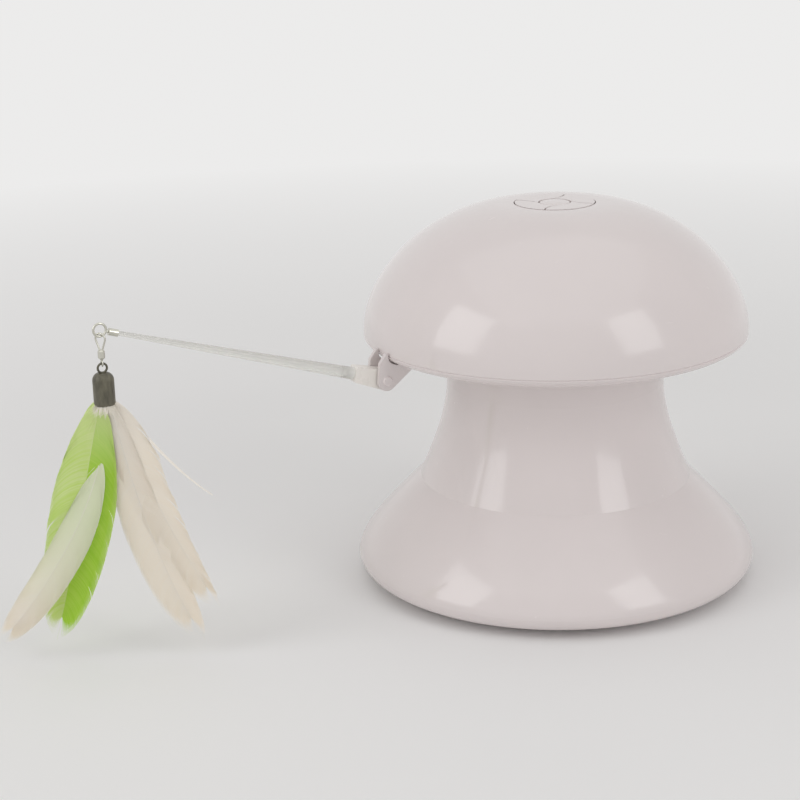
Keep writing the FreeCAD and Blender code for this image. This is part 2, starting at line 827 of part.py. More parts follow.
def battery_cells():
    """Three cylindrical cells side by side, the middle one turned end for end."""
    radius = D.battery_radius
    half = D.battery_length / 2
    button = 2.7
    cells = []
    for number in (-1, 0, 1):
        cell = turned("cell_%d" % (number + 2), [
            (0, -half), (radius - 0.6, -half), (radius, 0.6 - half), (radius, half - 1.6),
            (radius - 0.8, half - 0.9), (button, half - 0.9), (button, half), (0, half),
        ])
        tilt = 90.0 if number else -90.0
        cells.append(place(cell, D.battery_pitch * number, 0, CELL_AXIS, X_AXIS, tilt))
    keep(group("battery_cells", *cells))


def leaf_contact(label, low, high, end):
    """A leaf on the end wall of the bay, with one round pad for each cell it touches."""
    thick = D.contact_thickness
    half = D.battery_length / 2
    wall = BAY_HALF_Y * end
    y_low, y_high = (wall - thick, wall) if end > 0 else (wall, wall + thick)
    side_gap = 1.2
    leaf = block(label + "_leaf", D.battery_pitch * low + side_gap, D.battery_pitch * high - side_gap,
                 y_low, y_high, CELL_AXIS - D.contact_reach, CELL_AXIS + D.contact_reach)
    pad_length = BAY_HALF_Y - thick - half
    pad_end = half + pad_length if end > 0 else -half
    pads = []
    for number in range(int(high - low)):
        x = D.battery_pitch * (low + 0.5 + number)
        pads.append(bar("%s_pad_%d" % (label, number), 2.2, pad_length, x, pad_end, CELL_AXIS, X_AXIS, 90.0))
    return fuse(label, leaf, *pads)


def battery_contacts():
    """Two double and two single leaves that join the three cells in a row."""
    spans = ((-1.5, 0.5, 1), (0.5, 1.5, 1), (-1.5, -0.5, -1), (-0.5, 1.5, -1))
    leaves = [leaf_contact("contact_%d" % number, *span) for number, span in enumerate(spans)]
    keep(group("battery_contacts", *leaves))


def battery_door():
    """Flat hatch flush with the plate, with grip grooves and one screw."""
    body = new_body("battery_door")
    raise_up(body, rectangle(plate_sketch(body, "door_outline"), *door_span()), D.door_thickness)
    pitch, width, half = 3.0, 1.2, 8.0
    for number in range(5):
        y = size(6) + pitch * number - BAY_HALF_Y
        groove = rectangle(plate_sketch(body, "grip_%d" % number), -half, half, y, y + width)
        cut_in(body, groove, 0.6, back=True)
    seat = circle(plate_sketch(body, "door_head_seat"), 0, DOOR_SCREW_Y, DOOR_SCREW.seat)
    cut_in(body, seat, DOOR_SEAT_DEPTH, back=True)
    hole = circle(plate_sketch(body, "door_shank_hole"), 0, DOOR_SCREW_Y, DOOR_SCREW.hole)
    cut_in(body, hole, D.door_thickness, back=True)
    keep(body)
    level = D.floor_gap + DOOR_SEAT_DEPTH
    screw = turned("door_screw", DOOR_SCREW.profile(level, level + D.door_screw_length))
    keep(place(screw, 0, DOOR_SCREW_Y, 0))


def usb_inlet():
    """Small oval power socket on a board, facing out through the well."""
    half_x = D.socket_width / 2
    half_z = D.socket_thickness / 2
    skin = 0.35
    body = new_body("usb_socket")
    z = D.inlet_height
    front = -D.well_floor
    shell = new_sketch(body, "socket_outline", "XZ_Plane", (0, z, front))
    rounded_bar(shell, half_x, half_z)
    raise_up(body, shell, D.socket_length)
    mouth = new_sketch(body, "socket_mouth", "XZ_Plane", (0, z, front))
    rounded_bar(mouth, half_x - skin, half_z - skin)
    cut_in(body, mouth, D.socket_length - 1, back=True)
    tongue = new_sketch(body, "socket_tongue", "XZ_Plane", (0, z, front + 0.8))
    tongue_half = half_x - skin - 0.85
    rectangle(tongue, -tongue_half, tongue_half, -skin, skin)
    raise_up(body, tongue, D.socket_length - 1)
    keep(body)
    back = D.well_floor - D.well_wall - 0.2
    side = D.power_board_half_width
    keep(block("power_board", -side, side, back - D.power_board_length, back, POWER_BOARD_UNDER,
               POWER_BOARD_UNDER + D.board_thickness))


def rounded_bar(sketch, half_x, half_z):
    """A bar with half-round ends."""
    outline(sketch, [
        (half_z - half_x, -half_z), (half_x - half_z, -half_z, Arc(half_z)), (half_x, 0, Arc(half_z)),
        (half_x - half_z, half_z), (half_z - half_x, half_z, Arc(half_z)), (-half_x, 0, Arc(half_z)),
    ])


# ---------------------------------------------------------------------------------------------
# Bearing and drive
# ---------------------------------------------------------------------------------------------

def spindle():
    """Steel tube with a flange under the deck, three screw holes in it and a groove for its clip."""
    outer, bore, flange = D.spindle_radius, D.spindle_bore, D.flange_radius
    groove = outer - D.clip_depth
    clip_high = CLIP_LOW + D.clip_groove
    under = DECK_UNDER - D.flange_thickness
    body = turned("spindle", [
        (bore, under), (flange, under), (flange, DECK_UNDER), (outer, DECK_UNDER), (outer, CLIP_LOW),
        (groove, CLIP_LOW), (groove, clip_high), (outer, clip_high), (outer, SPINDLE_TOP),
        (bore, SPINDLE_TOP),
    ])
    hole = new_sketch(body, "flange_hole", "XY_Plane", (0, 0, DECK_UNDER))
    circle(hole, FLANGE_SCREW_RING * cos(THIRD), FLANGE_SCREW_RING * sin(THIRD), SPINDLE_SCREW.hole)
    around(body, [cut_in(body, hole, D.flange_thickness + OVERSHOOT)], 3)
    keep(body)
    keep(screws("spindle_screws", FLANGE_SCREW_RING, 3, THIRD, SPINDLE_SCREW.profile(under, DECK_TOP - 0.5)))


def bearing_rings():
    """The open clip in the spindle's groove and the thrust washer on the deck."""
    outer = D.spindle_radius
    side_play = 0.05
    clip = tube("retaining_clip", outer - D.clip_depth + 0.03, outer + D.clip_reach, CLIP_LOW + side_play,
                CLIP_LOW + D.clip_groove - side_play)
    slot = new_sketch(clip, "clip_slot", "XY_Plane", (0, 0, CLIP_LOW))
    cut_in(clip, rectangle(slot, 0, outer + D.clip_reach + OVERSHOOT, -outer * 0.55, outer * 0.55),
           D.clip_groove, back=True)
    keep(clip)
    keep(tube("thrust_washer", outer + RUN_CLEAR, D.flange_radius, DECK_TOP, DECK_TOP + D.washer_thickness))


def head_bush():
    """Bronze sleeve pressed into the hub, with a thrust flange."""
    bore = D.spindle_radius + D.bearing_fit
    keep(turned("head_bush", [
        (bore, BUSH_BOTTOM), (HUB_RADIUS, BUSH_BOTTOM), (HUB_RADIUS, HUB_BOTTOM), (BUSH_RADIUS, HUB_BOTTOM),
        (BUSH_RADIUS, HUB_TOP), (bore, HUB_TOP),
    ]))


def involute_corner(base_radius, radius, start_angle):
    """The point of an involute at a radius; its base point stands at start_angle degrees."""
    roll = root(radius * radius / (base_radius * base_radius) - 1)
    angle = start_angle + roll * DEGREES
    x = base_radius * (cos(angle) + roll * sin(angle))
    y = base_radius * (sin(angle) - roll * cos(angle))
    return (x, y)


def tooth_outline(teeth, inner, outer, widen):
    """Corners of one involute tooth about +X, from inner to outer radius; widen is each flank's."""
    pitch_radius = D.gear_module * teeth / 2
    base_radius = pitch_radius * cos(D.pressure_angle)
    involute = tan(D.pressure_angle) * DEGREES - D.pressure_angle
    half = 90.0 / teeth + widen / pitch_radius * DEGREES
    start = -half - involute
    flank = pitch_radius * sin(D.pressure_angle)
    low = involute_corner(base_radius, inner, start)
    high = involute_corner(base_radius, outer, start)
    return low, high, flank


def ring_gear():
    """Internal gear that hangs under the head's platform on heat stakes."""
    pitch_radius = D.gear_module * RING_TEETH / 2
    tip = pitch_radius - 0.8 * D.gear_module
    bottom = pitch_radius + 1.2 * D.gear_module
    body = tube("ring_gear", tip, bottom + D.gear_rim, GEAR_BOTTOM, PLATFORM_UNDER)
    low, high, flank = tooth_outline(RING_TEETH, tip - 0.3, bottom, D.gear_backlash / 2)
    gap = new_sketch(body, "tooth_gap", "XY_Plane", (0, 0, GEAR_BOTTOM))
    outline(gap, [(low[0], low[1], Arc(flank)), high, (high[0], -high[1], Arc(flank)), (low[0], -low[1])])
    around(body, [cut_in(body, gap, D.gear_width, back=True)], RING_TEETH)
    stake = circle(new_sketch(body, "stake_hole", "XY_Plane", (0, 0, GEAR_BOTTOM)), STAKE_RING, 0,
                   D.stake_radius + 0.02)
    around(body, [cut_in(body, stake, D.gear_width, back=True)], 6)
    keep(body)


def drive_pinion():
    """Small gear on the motor's output, meshing inside the ring gear."""
    pitch_radius = D.gear_module * PINION_TEETH / 2
    base_radius = pitch_radius * cos(D.pressure_angle)
    body = new_body("drive_pinion")
    core_radius = pitch_radius - 1.2 * D.gear_module
    core = circle(new_sketch(body, "pinion_core", "XY_Plane", (0, 0, PINION_BOTTOM)), 0, 0, core_radius)
    raise_up(body, core, D.gear_width)
    low, high, flank = tooth_outline(PINION_TEETH, base_radius * 1.002, pitch_radius + 0.8 * D.gear_module,
                                     -D.gear_backlash / 2)
    tooth = new_sketch(body, "pinion_tooth", "XY_Plane", (0, 0, PINION_BOTTOM))
    root_x = core_radius * 0.93
    outline(tooth, [(root_x, low[1]), low + (Arc(flank),), high, (high[0], -high[1], Arc(flank)),
                    (low[0], -low[1]), (root_x, -low[1])])
    around(body, [raise_up(body, tooth, D.gear_width)], PINION_TEETH)
    bore = circle(new_sketch(body, "pinion_bore", "XY_Plane", (0, 0, PINION_BOTTOM)), 0, 0, D.shaft_radius)
    cut_in(body, bore, D.gear_width, back=True)
    keep(place(body, CENTRE_DISTANCE))
    shaft = rod("output_shaft", D.shaft_radius, DECK_UNDER + 0.3, PINION_BOTTOM + D.gear_width)
    keep(place(shaft, CENTRE_DISTANCE))


def gearbox():
    """Round gearbox hung from the deck by two ears, each with its screw."""
    body = rod("gearbox_housing", D.gearbox_radius, GEARBOX_UNDER, DECK_UNDER)
    half = D.ear_half_width
    ears = new_sketch(body, "gearbox_ears", "XY_Plane", (0, 0, DECK_UNDER - D.ear_thickness))
    outline(ears, [
        (half, -EAR_OFFSET), (half, EAR_OFFSET, Arc(half)), (0, EAR_OFFSET + half, Arc(half)),
        (-half, EAR_OFFSET), (-half, -EAR_OFFSET, Arc(half)), (0, -EAR_OFFSET - half, Arc(half)),
    ])
    raise_up(body, ears, D.ear_thickness)
    for number, side in enumerate((1, -1)):
        hole = new_sketch(body, "ear_hole_%d" % number, "XY_Plane", (0, 0, DECK_UNDER))
        cut_in(body, circle(hole, 0, side * EAR_OFFSET, GEARBOX_SCREW.hole), D.ear_thickness)
    boss = new_sketch(body, "gearbox_boss", "XY_Plane", (0, 0, DECK_UNDER))
    raise_up(body, circle(boss, 0, 0, D.shaft_radius + D.shaft_boss_wall), 0.2)
    keep(place(body, CENTRE_DISTANCE))
    profile = GEARBOX_SCREW.profile(DECK_UNDER - D.ear_thickness, DECK_UNDER + D.wall - 0.7)
    fixings = [place(turned("gearbox_screw_%d" % side, profile), CENTRE_DISTANCE, side * EAR_OFFSET, 0)
               for side in (1, -1)]
    keep(group("gearbox_screws", *fixings))


def motor():
    """Flat-sided can motor under the gearbox, with its bearing boss."""
    can = new_body("motor_can")
    outer, flat = D.motor_radius, D.motor_flat
    half = root(outer * outer - flat * flat)
    sketch = new_sketch(can, "can_outline", "XY_Plane", (0, 0, GEARBOX_UNDER))
    outline(sketch, [(half, -flat, Arc(outer)), (half, flat), (-half, flat, Arc(outer)), (-half, -flat)])
    raise_up(can, sketch, D.motor_length, back=True)
    cap = circle(new_sketch(can, "can_boss", "XY_Plane", (0, 0, GEARBOX_UNDER - D.motor_length)), 0, 0, 3)
    raise_up(can, cap, 1.6, back=True)
    keep(place(can, CENTRE_DISTANCE))


def slip_ring():
    """Plastic core plugged into the spindle, with two contact rings."""
    core = D.slip_ring_radius - D.slip_core_wall
    plug = D.spindle_bore
    top = SPINDLE_TOP + D.slip_core_length
    lip = D.slip_ring_radius + D.slip_core_lip
    lip_low = top - 1.5
    keep(turned("slip_ring_core", [
        (0, SPINDLE_TOP - D.slip_core_plug), (plug, SPINDLE_TOP - D.slip_core_plug), (plug, SPINDLE_TOP),
        (core, SPINDLE_TOP), (core, lip_low), (lip, lip_low), (lip, top), (0, top),
    ]))
    rings = []
    for number in range(2):
        start = slip_ring_level(number)
        end = start + D.slip_ring_width
        rings.append(tube("contact_ring_%d" % number, core, D.slip_ring_radius, start, end))
    keep(group("slip_rings", *rings))


def slip_ring_level(number):
    return SPINDLE_TOP + D.slip_ring_start + (D.slip_ring_width + D.slip_ring_gap) * number


# ---------------------------------------------------------------------------------------------
# Head
# ---------------------------------------------------------------------------------------------

def dome_outside():
    """From the seam's small chamfer up to the flat land round the keypad."""
    chamfer = D.seam_chamfer
    crown = Curve((D.dome_radius, WIDEST + D.dome_hold), (LAND_RADIUS + D.crown_run, LAND + 0.1))
    return turned("dome_form", [
        (0, SEAM), (D.dome_radius - chamfer, SEAM), (D.dome_radius, SEAM + chamfer),
        (D.dome_radius, WIDEST, crown), (LAND_RADIUS, LAND), (0, LAND),
    ])


def dome_inside():
    wall = D.dome_wall
    inner = D.dome_radius - wall
    crown = Curve((inner, WIDEST + D.dome_hold - 0.4 * wall),
                  (LAND_RADIUS + D.crown_run - 0.4 * wall, LAND - wall + 0.1))
    return turned("dome_hollow", [
        (0, SEAM - OVERSHOOT), (inner, SEAM - OVERSHOOT), (inner, WIDEST, crown),
        (LAND_RADIUS, LAND - wall), (0, LAND - wall),
    ])


def dome_shell():
    """Glossy dome with four screw bosses inside and a round keypad opening on its crown."""
    ring, wall = D.dome_boss_ring, D.dome_wall
    bosses = ring_of_rods("dome_bosses", ring, 4, D.dome_boss_radius, SEAM - OVERSHOOT, LAND, DIAGONAL)
    shell = cut("dome_hollow_shell", dome_outside(), cut("dome_hollow_with_bosses", dome_inside(), bosses))
    opening = bar("keypad_opening", D.keypad_radius + D.key_gap, wall + 4, z=LAND - wall - 2)
    pilots = ring_of_rods("dome_pilots", ring, 4, DOME_SCREW.hole, SEAM - OVERSHOOT, SEAM + 11, DIAGONAL)
    keep(cut("dome_shell", shell, fuse("dome_holes", opening, pilots)))


def tray_profile():
    """Rim band, floor, cup over the neck, gear platform and hub, from the neck round to the neck."""
    wall = D.dome_wall
    cup = NECK_HOLE + wall
    chamfer = D.seam_chamfer
    flat, edge = D.rim_flat_radius, D.dome_radius
    band = Curve((flat + 3.2, D.rim_height + 0.2), (edge - 0.3, D.rim_height + 2.2))
    inner = Curve((edge - wall - 0.3, FLOOR_TOP + 0.4), (flat + 0.6, FLOOR_TOP))
    return [
        (NECK_HOLE, D.rim_height), (flat, D.rim_height, band), (edge, SEAM - chamfer), (edge - chamfer, SEAM),
        (edge - wall, SEAM, inner), (flat - 1.5, FLOOR_TOP), (cup, FLOOR_TOP), (cup, PLATFORM_TOP),
        (HUB_RADIUS, PLATFORM_TOP), (HUB_RADIUS, HUB_TOP), (BUSH_RADIUS, HUB_TOP), (BUSH_RADIUS, HUB_BOTTOM),
        (HUB_RADIUS, HUB_BOTTOM), (HUB_RADIUS, PLATFORM_UNDER), (NECK_HOLE, PLATFORM_UNDER),
    ]


def dome_floor():
    """Lower tray of the head, with seats for the dome's screws and holes for nozzle and bracket."""
    ring = D.dome_boss_ring
    feet = ring_of_rods("tray_boss_feet", ring, 4, D.dome_boss_radius, FLOOR_TOP - OVERSHOOT, SEAM, DIAGONAL)
    stakes = ring_of_rods("gear_stakes", STAKE_RING, 6, D.stake_radius, GEAR_BOTTOM,
                          PLATFORM_UNDER + OVERSHOOT, 0)
    whole = fuse("tray_with_bosses", turned("tray_form", tray_profile()), feet, stakes)
    low = D.rim_height - OVERSHOOT
    seat_level = D.rim_height + DOME_SEAT_DEPTH
    seats = ring_of_rods("tray_head_seats", ring, 4, DOME_SCREW.seat, low, seat_level, DIAGONAL)
    shanks = ring_of_rods("tray_shank_holes", ring, 4, DOME_SCREW.hole, low, SEAM + OVERSHOOT, DIAGONAL)
    nozzle_hole = bar("nozzle_hole", D.nozzle_radius + RUN_CLEAR, HIDDEN / 2, D.laser_reach, 0, LASER_Z,
                      Y_AXIS, D.laser_tilt - 90)
    bracket_holes = [bar("bracket_pilot_%d" % side, BRACKET_SCREW.hole, D.dome_wall - 0.4,
                         -BRACKET_SCREW_REACH, side * D.bracket_screw_side, D.rim_height) for side in (1, -1)]
    keep(cut("dome_floor", whole, fuse("tray_holes", seats, shanks, nozzle_hole, *bracket_holes)))
    keep(screws("dome_screws", ring, 4, DIAGONAL, DOME_SCREW.profile(seat_level, SEAM + 9)))


# ---------------------------------------------------------------------------------------------
# Keypad
# ---------------------------------------------------------------------------------------------

def key_frame():
    """Cup under the keypad: it guides the key stems and carries the control board on four legs."""
    inner = D.keypad_radius + D.key_gap + D.frame_gap
    outer = inner + D.frame_wall
    top = LAND - D.dome_wall
    corner = 1.2
    body = turned("key_frame", [
        (0, FRAME_FLOOR_UNDER), (outer, FRAME_FLOOR_UNDER), (outer, top - corner), (outer - corner, top),
        (inner, top), (inner, FRAME_FLOOR_TOP), (0, FRAME_FLOOR_TOP),
    ])
    stem_hole = D.stem_radius + D.stem_gap
    centre_hole = new_sketch(body, "centre_hole", "XY_Plane", (0, 0, FRAME_FLOOR_TOP))
    cut_in(body, circle(centre_hole, 0, 0, stem_hole), D.frame_plate)
    hole = new_sketch(body, "stem_hole", "XY_Plane", (0, 0, FRAME_FLOOR_TOP))
    around(body, [cut_in(body, circle(hole, STEM_RING, 0, stem_hole), D.frame_plate)], 4)
    spot = LEG_RING * cos(DIAGONAL)
    leg = new_sketch(body, "board_leg", "XY_Plane", (0, 0, FRAME_FLOOR_UNDER))
    circle(leg, spot, spot, D.leg_radius)
    raised = raise_up(body, leg, FRAME_FLOOR_UNDER - BOARD_TOP, back=True)
    pilot = new_sketch(body, "leg_pilot", "XY_Plane", (0, 0, BOARD_TOP))
    circle(pilot, spot, spot, BOARD_SCREW.hole)
    around(body, [raised, cut_in(body, pilot, 5, back=True)], 4)
    keep(body)


def control_board():
    """Round circuit board, fixed to the frame's legs by four screws from below."""
    body = rod("control_board", D.board_radius, BOARD_UNDER, BOARD_TOP)
    spot = LEG_RING * cos(DIAGONAL)
    hole = circle(new_sketch(body, "board_hole", "XY_Plane", (0, 0, BOARD_TOP)), spot, spot, BOARD_SCREW.hole)
    around(body, [cut_in(body, hole, D.board_thickness)], 4)
    keep(body)
    keep(screws("board_screws", LEG_RING, 4, DIAGONAL, BOARD_SCREW.profile(BOARD_UNDER, BOARD_TOP + 4)))


def tact_switches():
    """One switch on the board under each key's stem."""
    half, case_top = D.switch_half, BOARD_TOP + D.switch_case
    directions = ((0, 0), (1, 0), (0, 1), (-1, 0), (0, -1))
    switches = []
    for number, (across, along) in enumerate(directions):
        x, y = STEM_RING * across, STEM_RING * along
        case = block("switch_case_%d" % number, x - half, x + half, y - half, y + half, BOARD_TOP, case_top)
        low = case_top - 0.4
        plunger = bar("switch_plunger_%d" % number, D.plunger_radius, BOARD_TOP + D.switch_height - low, x, y, low)
        switches.append(fuse("switch_%d" % number, case, plunger))
    keep(group("tact_switches", *switches))


def power_button():
    """Round centre key with a softly crowned cap and a stem to its switch."""
    radius, stem = D.centre_key_radius - D.key_gap / 2, D.stem_radius
    keep(turned("power_button", [
        (0, STEM_END), (stem, STEM_END), (stem, KEY_UNDER), (radius, KEY_UNDER),
        (radius, KEY_TOP - 0.9, Arc(0.7)), (radius - 0.7, KEY_TOP - 0.2, Arc(radius * 9)),
        (radius * 0.3, KEY_TOP), (0, KEY_TOP),
    ]))


def petal_points(inner, outer, lag):
    """A key between two circles whose sides sweep round by the lag angle on the way in."""
    slant = D.key_gap * 42
    out_half = 45 - slant / outer
    in_half = 45 - slant / inner
    bend = (outer - inner) * 1.25
    return [
        (outer * cos(out_half), -outer * sin(out_half), Arc(outer)),
        (outer * cos(out_half), outer * sin(out_half), Arc(bend, "right")),
        (inner * cos(in_half + lag), inner * sin(in_half + lag), Arc(inner, "right")),
        (inner * cos(lag - in_half), inner * sin(lag - in_half), Arc(bend, "left")),
    ]


def speed_keys():
    """Four petal keys round the centre key; their curved gaps form a pinwheel."""
    inner = D.centre_key_radius + D.key_gap / 2
    for number in range(4):
        body = new_body("speed_key_%d" % (number + 1))
        cap = new_sketch(body, "petal_%d" % number, "XY_Plane", (0, 0, KEY_UNDER))
        outline(cap, petal_points(inner, D.keypad_radius, D.petal_lag))
        raise_up(body, cap, D.key_cap_height - 0.2)
        stem = circle(new_sketch(body, "petal_stem_%d" % number, "XY_Plane", (0, 0, KEY_UNDER)), STEM_RING, 0,
                      D.stem_radius)
        raise_up(body, stem, D.stem_length, back=True)
        keep(place(body, angle=size(90.0 * number)))


def brush_block():
    """Block beside the hub with two sprung contacts that reach in to the slip rings."""
    near = HUB_RADIUS + D.brush_gap
    low = PLATFORM_TOP
    high = slip_ring_level(1) + D.slip_ring_width + 2
    foot = block("brush_foot", -near - 9, -near, -7.0, 7.0, low, low + 2)
    post = block("brush_post", -near - 7, -near, -5.0, 5.0, low, high)
    keep(fuse("brush_block", foot, post))
    springs = []
    for number in range(2):
        level = slip_ring_level(number) + D.slip_ring_width / 2
        springs.append(block("brush_spring_%d" % number, -near, -D.slip_ring_radius - D.brush_preload,
                             -1.5, 1.5, level - 0.2, level + 0.2))
    keep(group("brush_springs", *springs))


# ---------------------------------------------------------------------------------------------
# Laser
# ---------------------------------------------------------------------------------------------

def on_laser_axis(piece):
    """Local +Z is the beam; local zero is the mouth of the nozzle."""
    return place(piece, D.laser_reach, 0, LASER_Z, Y_AXIS, D.laser_tilt + 90)


def laser():
    outer, bore = D.nozzle_radius, D.module_radius
    nozzle = turned("laser_nozzle", [
        (bore, -D.nozzle_length), (outer, -D.nozzle_length), (outer, -0.8), (outer - 0.8, 0), (bore + 0.9, 0),
        (bore, -1.4),
    ])
    keep(on_laser_axis(nozzle))
    front = -D.module_recess
    aperture = D.laser_aperture
    module = turned("laser_module", [
        (0, front - D.module_length), (D.module_radius, front - D.module_length), (D.module_radius, front),
        (aperture, front), (aperture, front - 1), (0, front - 1),
    ])
    keep(on_laser_axis(module))
    lens = turned("laser_lens", [
        (0, front - 1), (aperture - 0.05, front - 1), (aperture - 0.05, front - 0.5, Arc(3.0)),
        (0.5, front - 0.1), (0, front - 0.1),
    ])
    keep(on_laser_axis(lens))


# ---------------------------------------------------------------------------------------------
# Wand
# ---------------------------------------------------------------------------------------------

def bracket_plate(body, under):
    """Flat plate under the rim, wide where its two screws go."""
    back = BRACKET_SCREW_REACH
    front = D.rim_flat_radius - 1.5
    wing = D.bracket_wing
    plate = new_sketch(body, "bracket_plate", "XY_Plane", (0, 0, under))
    outline(plate, [
        (-front, -HALF_BRACKET), (-back - 4, -wing), (3.0 - back, -wing, Arc(wing * 3.2)), (3.0 - back, wing),
        (-back - 4, wing), (-front, HALF_BRACKET),
    ])
    raise_up(body, plate, D.bracket_plate)
    for number, side in enumerate((1, -1)):
        hole = new_sketch(body, "bracket_hole_%d" % number, "XY_Plane", (0, 0, D.rim_height))
        cut_in(body, circle(hole, -back, side * D.bracket_screw_side, BRACKET_SCREW.hole), D.bracket_plate)


def bracket_cheeks(body, under):
    """Two cheeks that hold the elbow pin; above it they are horns that hug the rim band outside."""
    end, x, z = D.cheek_end_radius, -D.pivot_reach, PIVOT_Z
    slope = D.cheek_slope
    low_x, low_z = x + end * sin(slope), z - end * cos(slope)
    foot = low_x + (under - low_z) / tan(slope)
    hug = -D.dome_radius - D.horn_gap
    top = WIDEST + D.horn_gap
    band = Curve((-D.rim_flat_radius - 4.5, D.rim_height), (hug, D.rim_height + 1.6))
    cheek = new_sketch(body, "cheek", "XZ_Plane", (0, 0, -HALF_BRACKET))
    outline(cheek, [
        (foot, under), (foot, D.rim_height), (-D.rim_flat_radius, D.rim_height, band),
        (hug, SEAM - D.seam_chamfer), (hug, top), (hug - 0.9, top), (hug - 3.9, D.rim_height + 1.6),
        (x - end, z, Arc(end)), (low_x, low_z),
    ])
    raise_up(body, cheek, 2 * HALF_BRACKET)
    cheek_slot(body, x, z, top)
    pin_hole = circle(new_sketch(body, "pin_hole", "XZ_Plane", (0, 0, 0)), x, z, D.pin_radius + 0.02)
    cut_in(body, pin_hole, HIDDEN, both=True)


def cheek_slot(body, x, z, top):
    """Slot between the cheeks; its back slopes with the fully folded wand and leaves a web at the rim."""
    stop = 90 - D.wand_pitch - D.wand_fold
    rest = D.knuckle_radius + D.horn_gap
    rest_x, rest_z = x + rest * cos(stop), z + rest * sin(stop)
    back = x + D.knuckle_radius + D.knuckle_room
    web_top = D.rim_height + 0.6
    beyond = x - HIDDEN / 2
    slot = new_sketch(body, "cheek_slot", "XZ_Plane", (0, 0, -HALF_SLOT))
    outline(slot, [
        (beyond, z - HIDDEN / 2), (back, z - HIDDEN / 2), (back, rest_z - (back - rest_x) / tan(stop)),
        (rest_x - (web_top - rest_z) * tan(stop), web_top), (-D.rim_flat_radius - 1.0, web_top),
        (-D.rim_flat_radius - 1.0, top + OVERSHOOT), (beyond, top + OVERSHOOT),
    ])
    cut_in(body, slot, 2 * HALF_SLOT, back=True)


def wand_bracket():
    """Bracket screwed under the rim, its two screws and the riveted elbow pin."""
    body = new_body("wand_bracket")
    under = D.rim_height - D.bracket_plate
    bracket_plate(body, under)
    bracket_cheeks(body, under)
    keep(body)
    profile = BRACKET_SCREW.profile(under, D.rim_height + D.dome_wall - 0.5)
    fixings = [place(turned("bracket_screw_%d" % side, profile), -BRACKET_SCREW_REACH,
                     side * D.bracket_screw_side, 0) for side in (1, -1)]
    keep(group("bracket_screws", *fixings))
    radius, head = D.pin_radius, D.pin_head
    half = HALF_BRACKET
    pin = turned("wand_pin", [
        (0, -half - head), (radius + 0.6, -half - head), (radius + 1, -half), (radius, -half), (radius, half),
        (radius + 1, half), (radius + 0.6, half + head), (0, half + head),
    ])
    keep(place(pin, -D.pivot_reach, 0, PIVOT_Z, X_AXIS, 90.0))


def on_wand_axis(piece):
    """Local +X runs along the wand from the elbow; local zero is the elbow pin."""
    return place(piece, -D.pivot_reach, 0, PIVOT_Z, Y_AXIS, D.wand_pitch + 180)


def wand_socket():
    """Wedge that turns on the elbow pin between the cheeks and grips the rod at its slim end."""
    body = new_body("wand_socket")
    radius, half = D.knuckle_radius, D.socket_block_height / 2
    end, corner = D.socket_block_end, D.socket_corner
    wedge = new_sketch(body, "wedge", "XZ_Plane", (0, 0, -D.socket_block_width / 2))
    outline(wedge, [
        (0, -radius), (end - corner, -half, Arc(corner)), (end, corner - half), (end, half - corner, Arc(corner)),
        (end - corner, half), (0, radius, Arc(radius)), (-radius, 0, Arc(radius)),
    ])
    raise_up(body, wedge, D.socket_block_width)
    pin_hole = circle(new_sketch(body, "knuckle_hole", "XZ_Plane", (0, 0, 0)), 0, 0, D.pin_radius + 0.06)
    cut_in(body, pin_hole, HIDDEN, both=True)
    bore = new_sketch(body, "rod_bore", "YZ_Plane", (0, 0, end - D.rod_grip))
    cut_in(body, circle(bore, 0, 0, D.rod_root_radius + 0.02), D.rod_grip, back=True)
    keep(on_wand_axis(body))


def wand_rod():
    """Clear tapered rod; it stays straight-sided where the block grips it."""
    start = D.socket_block_end - D.rod_grip
    body = new_body("wand_rod")
    sketch = new_sketch(body, "rod_profile", "XZ_Plane")
    tip = D.rod_length
    outline(sketch, [
        (start, 0), (start, D.rod_root_radius), (D.socket_block_end, D.rod_root_radius),
        (tip - 0.6, D.rod_tip_radius), (tip, D.rod_tip_radius - 0.5), (tip, 0),
    ])
    feature = turn(body, sketch)
    feature.ReferenceAxis = (sketch, ["H_Axis"])
    keep(on_wand_axis(body))


EYELET_REACH = D.rod_length + D.stalk_length + D.eyelet_radius
EYELET_X = -D.pivot_reach - EYELET_REACH * cos(D.wand_pitch)
EYELET_Z = PIVOT_Z + EYELET_REACH * sin(D.wand_pitch)


def tip_eyelet():
    """Wire ring on a short stalk whose ferrule is crimped over the end of the rod."""
    length = D.ferrule_length
    start = D.rod_length - length + D.ferrule_end
    bore_radius = D.rod_tip_radius + 0.16
    ring = torus("eyelet_ring", D.eyelet_radius, D.eyelet_wire, EYELET_REACH, 0, 0, X_AXIS, 90.0)
    sleeve = bar("eyelet_sleeve", D.rod_tip_radius + D.ferrule_wall, length, start, 0, 0, Y_AXIS, 90.0)
    stalk = bar("eyelet_stalk", D.eyelet_wire, D.stalk_length, D.rod_length, 0, 0, Y_AXIS, 90.0)
    bore = bar("eyelet_bore", bore_radius, length - D.ferrule_end, start, 0, 0, Y_AXIS, 90.0)
    keep(on_wand_axis(cut("tip_eyelet", fuse("eyelet_solid", ring, sleeve, stalk), bore)))


# ---------------------------------------------------------------------------------------------
# Lure: snap, swivel, cap and feathers, all hung below the eyelet
# ---------------------------------------------------------------------------------------------

def below_eyelet(piece, angle=0):
    return place(piece, EYELET_X, 0, EYELET_Z, angle=angle)


def hang(radius_above, wire_above, radius_below, wire_below):
    """Distance between the centres of two linked rings, the lower one hanging almost in contact."""
    return radius_above + radius_below - wire_above - wire_below - D.link_gap


